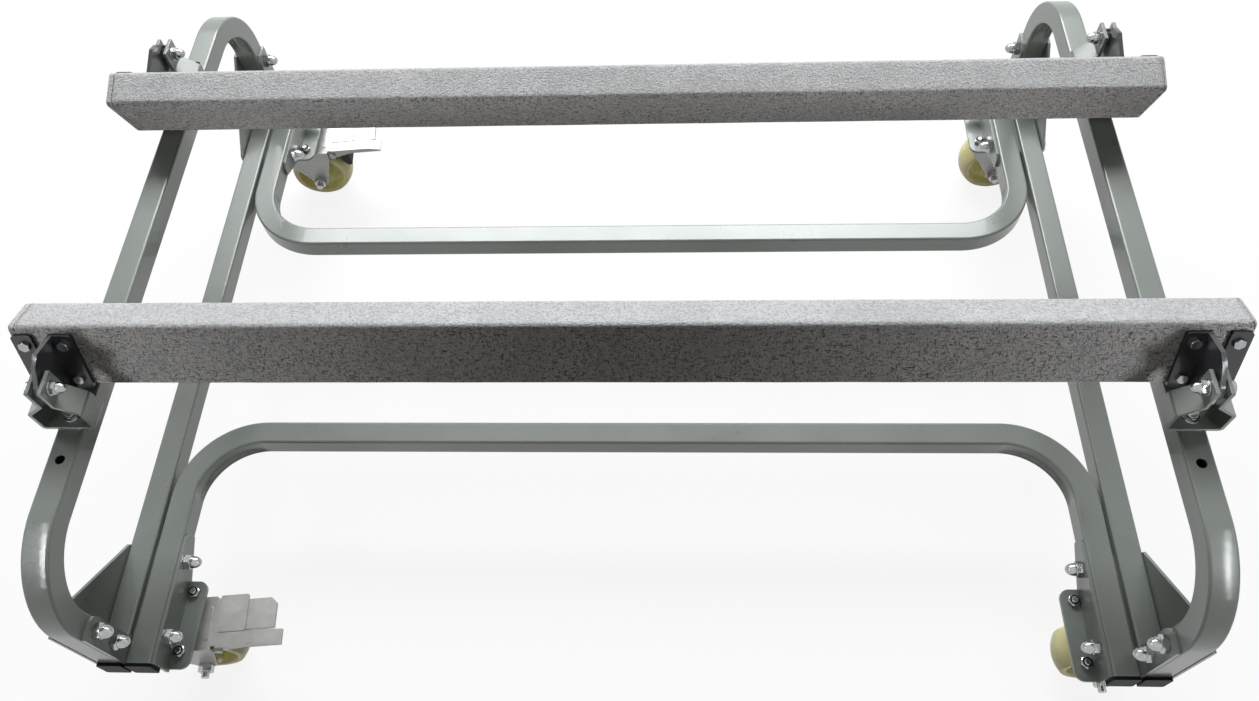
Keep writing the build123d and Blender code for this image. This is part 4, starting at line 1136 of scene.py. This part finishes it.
class DOLLY_OT_stage(bpy.types.Operator):
    """Set the camera, the lights, the white floor and the room"""
    bl_idname = "dolly.stage"
    bl_label = "Stage"

    def seen(self, tree):
        """A mask of 1 for the rays that show the background: camera, glossy and transmission rays."""
        path = add(tree, "ShaderNodeLightPath").outputs
        first = maths(tree, "MAXIMUM", path["Is Camera Ray"], path["Is Glossy Ray"])
        return maths(tree, "MAXIMUM", first, path["Is Transmission Ray"])

    def floor(self, colour, bounce):
        """A floor that is white in view and a dim light from below to the dolly."""
        glow, reach = 0.88, 8.0
        material = bpy.data.materials.new("studio_floor")
        material.use_nodes = True
        tree = material.node_tree
        tree.nodes.clear()
        seen = self.seen(tree)
        tint = mixed(tree, seen, (*bounce, 1), (*colour, 1))
        plain = result(tree, "ShaderNodeBsdfDiffuse", {"Color": tint})
        white = result(tree, "ShaderNodeEmission", {"Color": (1, 1, 1, 1), "Strength": 1.0})
        share = maths(tree, "MULTIPLY", seen, glow)
        both = result(tree, "ShaderNodeMixShader", {0: share, 1: plain, 2: white})
        add(tree, "ShaderNodeOutputMaterial", {"Surface": both})
        mesh = bpy.data.meshes.new("studio_floor")
        mesh.from_pydata([(-reach, -reach, 0), (reach, -reach, 0), (reach, reach, 0), (-reach, reach, 0)], [],
                         [(0, 1, 2, 3)])
        mesh.materials.append(material)
        new_object("studio_floor", mesh)

    def room(self, context, strength):
        """A room that is white in view and a weak, warm light to the dolly."""
        world = bpy.data.worlds.new("studio_room")
        world.use_nodes = True
        tree = world.node_tree
        tree.nodes.clear()
        lit = result(tree, "ShaderNodeBackground", {"Color": (1.0, 0.97, 0.94, 1), "Strength": strength})
        white = result(tree, "ShaderNodeBackground", {"Color": (1, 1, 1, 1), "Strength": 1.0})
        both = result(tree, "ShaderNodeMixShader", {0: self.seen(tree), 1: lit, 2: white})
        add(tree, "ShaderNodeOutputWorld", {"Surface": both})
        context.scene.world = world

    def lamp(self, name, place, target, size, power, spread=math.pi):
        """A flat lamp aimed at a target, with its second side upright as seen along X."""
        light = bpy.data.lights.new(name, "AREA")
        light.shape = "RECTANGLE"
        light.size, light.size_y = size
        light.energy = power
        light.spread = spread
        light.color = (0.97, 0.985, 1.0)
        made = new_object(name, light)
        way = (Vector(target) - Vector(place)).normalized()
        tall = Vector((0, way.z, -way.y)).normalized()
        turn = Matrix((tall.cross(-way), tall, -way)).transposed()
        made.matrix_world = Matrix.Translation(place) @ turn.to_4x4()
        return made

    def side_lamps(self, settings, name, side):
        """One side's front light, and the strips on an arc round a front bend, which only streak the bend."""
        stand, bunk_end = (side * 1.6, -1.55, 0.8), (side * 0.62, -0.2, 0.53)
        front_size, front_spread = (0.25, 0.9), math.radians(24)
        front = self.lamp(f"front_{name}", stand, bunk_end, front_size, settings.fill, front_spread)
        front.visible_glossy = False
        bend = Vector((side * 0.6, -0.405, 0.335))
        aside = Vector((side * 0.745 - 0.064, 0, 0))
        reach = 1.35
        strip_size, strip_spread = (0.014, 0.32), math.radians(75)
        share_at_lean = {0: 0.35, 13: 0.75, 26: 1.0, 39: 1.0, 52: 0.6, 65: 0.25}
        for lean, share in share_at_lean.items():
            way = Vector((0, -math.sin(math.radians(lean)), math.cos(math.radians(lean))))
            strip = self.lamp(f"strip_{name}_{lean}", bend + reach * way + aside, bend, strip_size,
                              settings.strip * share, strip_spread)
            strip.visible_diffuse = False

    def execute(self, context):
        scene = context.scene
        settings = scene.dolly_stage
        scene.view_settings.view_transform = "Standard"
        lens = bpy.data.cameras.new("photo_camera")
        lens.sensor_fit = "HORIZONTAL"
        lens.sensor_width = 36.0
        lens.lens = settings.lens
        lens.clip_start = 0.01
        camera = new_object("photo_camera", lens)
        camera.matrix_world = (Matrix.Translation(settings.camera) @ Matrix.Rotation(settings.yaw, 4, "Z")
                               @ Matrix.Rotation(math.pi / 2 - settings.pitch, 4, "X")
                               @ Matrix.Rotation(settings.roll, 4, "Z"))
        scene.camera = camera
        self.floor(settings.floor, settings.bounce)
        self.room(context, settings.ambient)
        ceiling, dolly, panel_size = (-0.15, 2.45, 2.75), (0, 0.1, 0.2), (3.4, 1.4)
        self.lamp("overhead", ceiling, dolly, panel_size, settings.key)
        for name, side in SIDES.items():
            self.side_lamps(settings, name, side)
        return {"FINISHED"}


OPERATORS = [DOLLY_OT_finishes, DOLLY_OT_tubes, DOLLY_OT_plates, DOLLY_OT_fasteners, DOLLY_OT_casters,
             DOLLY_OT_bunks, DOLLY_OT_stage]


class DOLLY_PT_panel(bpy.types.Panel):
    """Lists the dolly's sizes and steps"""
    bl_label = "Watercraft dolly"
    bl_idname = "DOLLY_PT_panel"
    bl_space_type = "VIEW_3D"
    bl_region_type = "UI"
    bl_category = "Dolly"

    def draw(self, context):
        for key, kind in GROUPS.items():
            box = self.layout.box()
            box.label(text=kind.__name__)
            for name in kind.__annotations__:
                box.prop(getattr(context.scene, key), name)
        for step in OPERATORS:
            self.layout.operator(step.bl_idname)


def register():
    for key, kind in GROUPS.items():
        bpy.utils.register_class(kind)
        setattr(bpy.types.Scene, key, bpy.props.PointerProperty(type=kind))
    for step in OPERATORS:
        bpy.utils.register_class(step)
    bpy.utils.register_class(DOLLY_PT_panel)


def unregister():
    bpy.utils.unregister_class(DOLLY_PT_panel)
    for step in reversed(OPERATORS):
        bpy.utils.unregister_class(step)
    for key, kind in reversed(GROUPS.items()):
        delattr(bpy.types.Scene, key)
        bpy.utils.unregister_class(kind)


def main():
    register()
    bpy.ops.dolly.finishes()
    bpy.ops.dolly.tubes()
    bpy.ops.dolly.plates()
    bpy.ops.dolly.fasteners()
    bpy.ops.dolly.casters()
    bpy.ops.dolly.bunks()
    bpy.ops.dolly.stage()


if __name__ == "__main__":
    main()
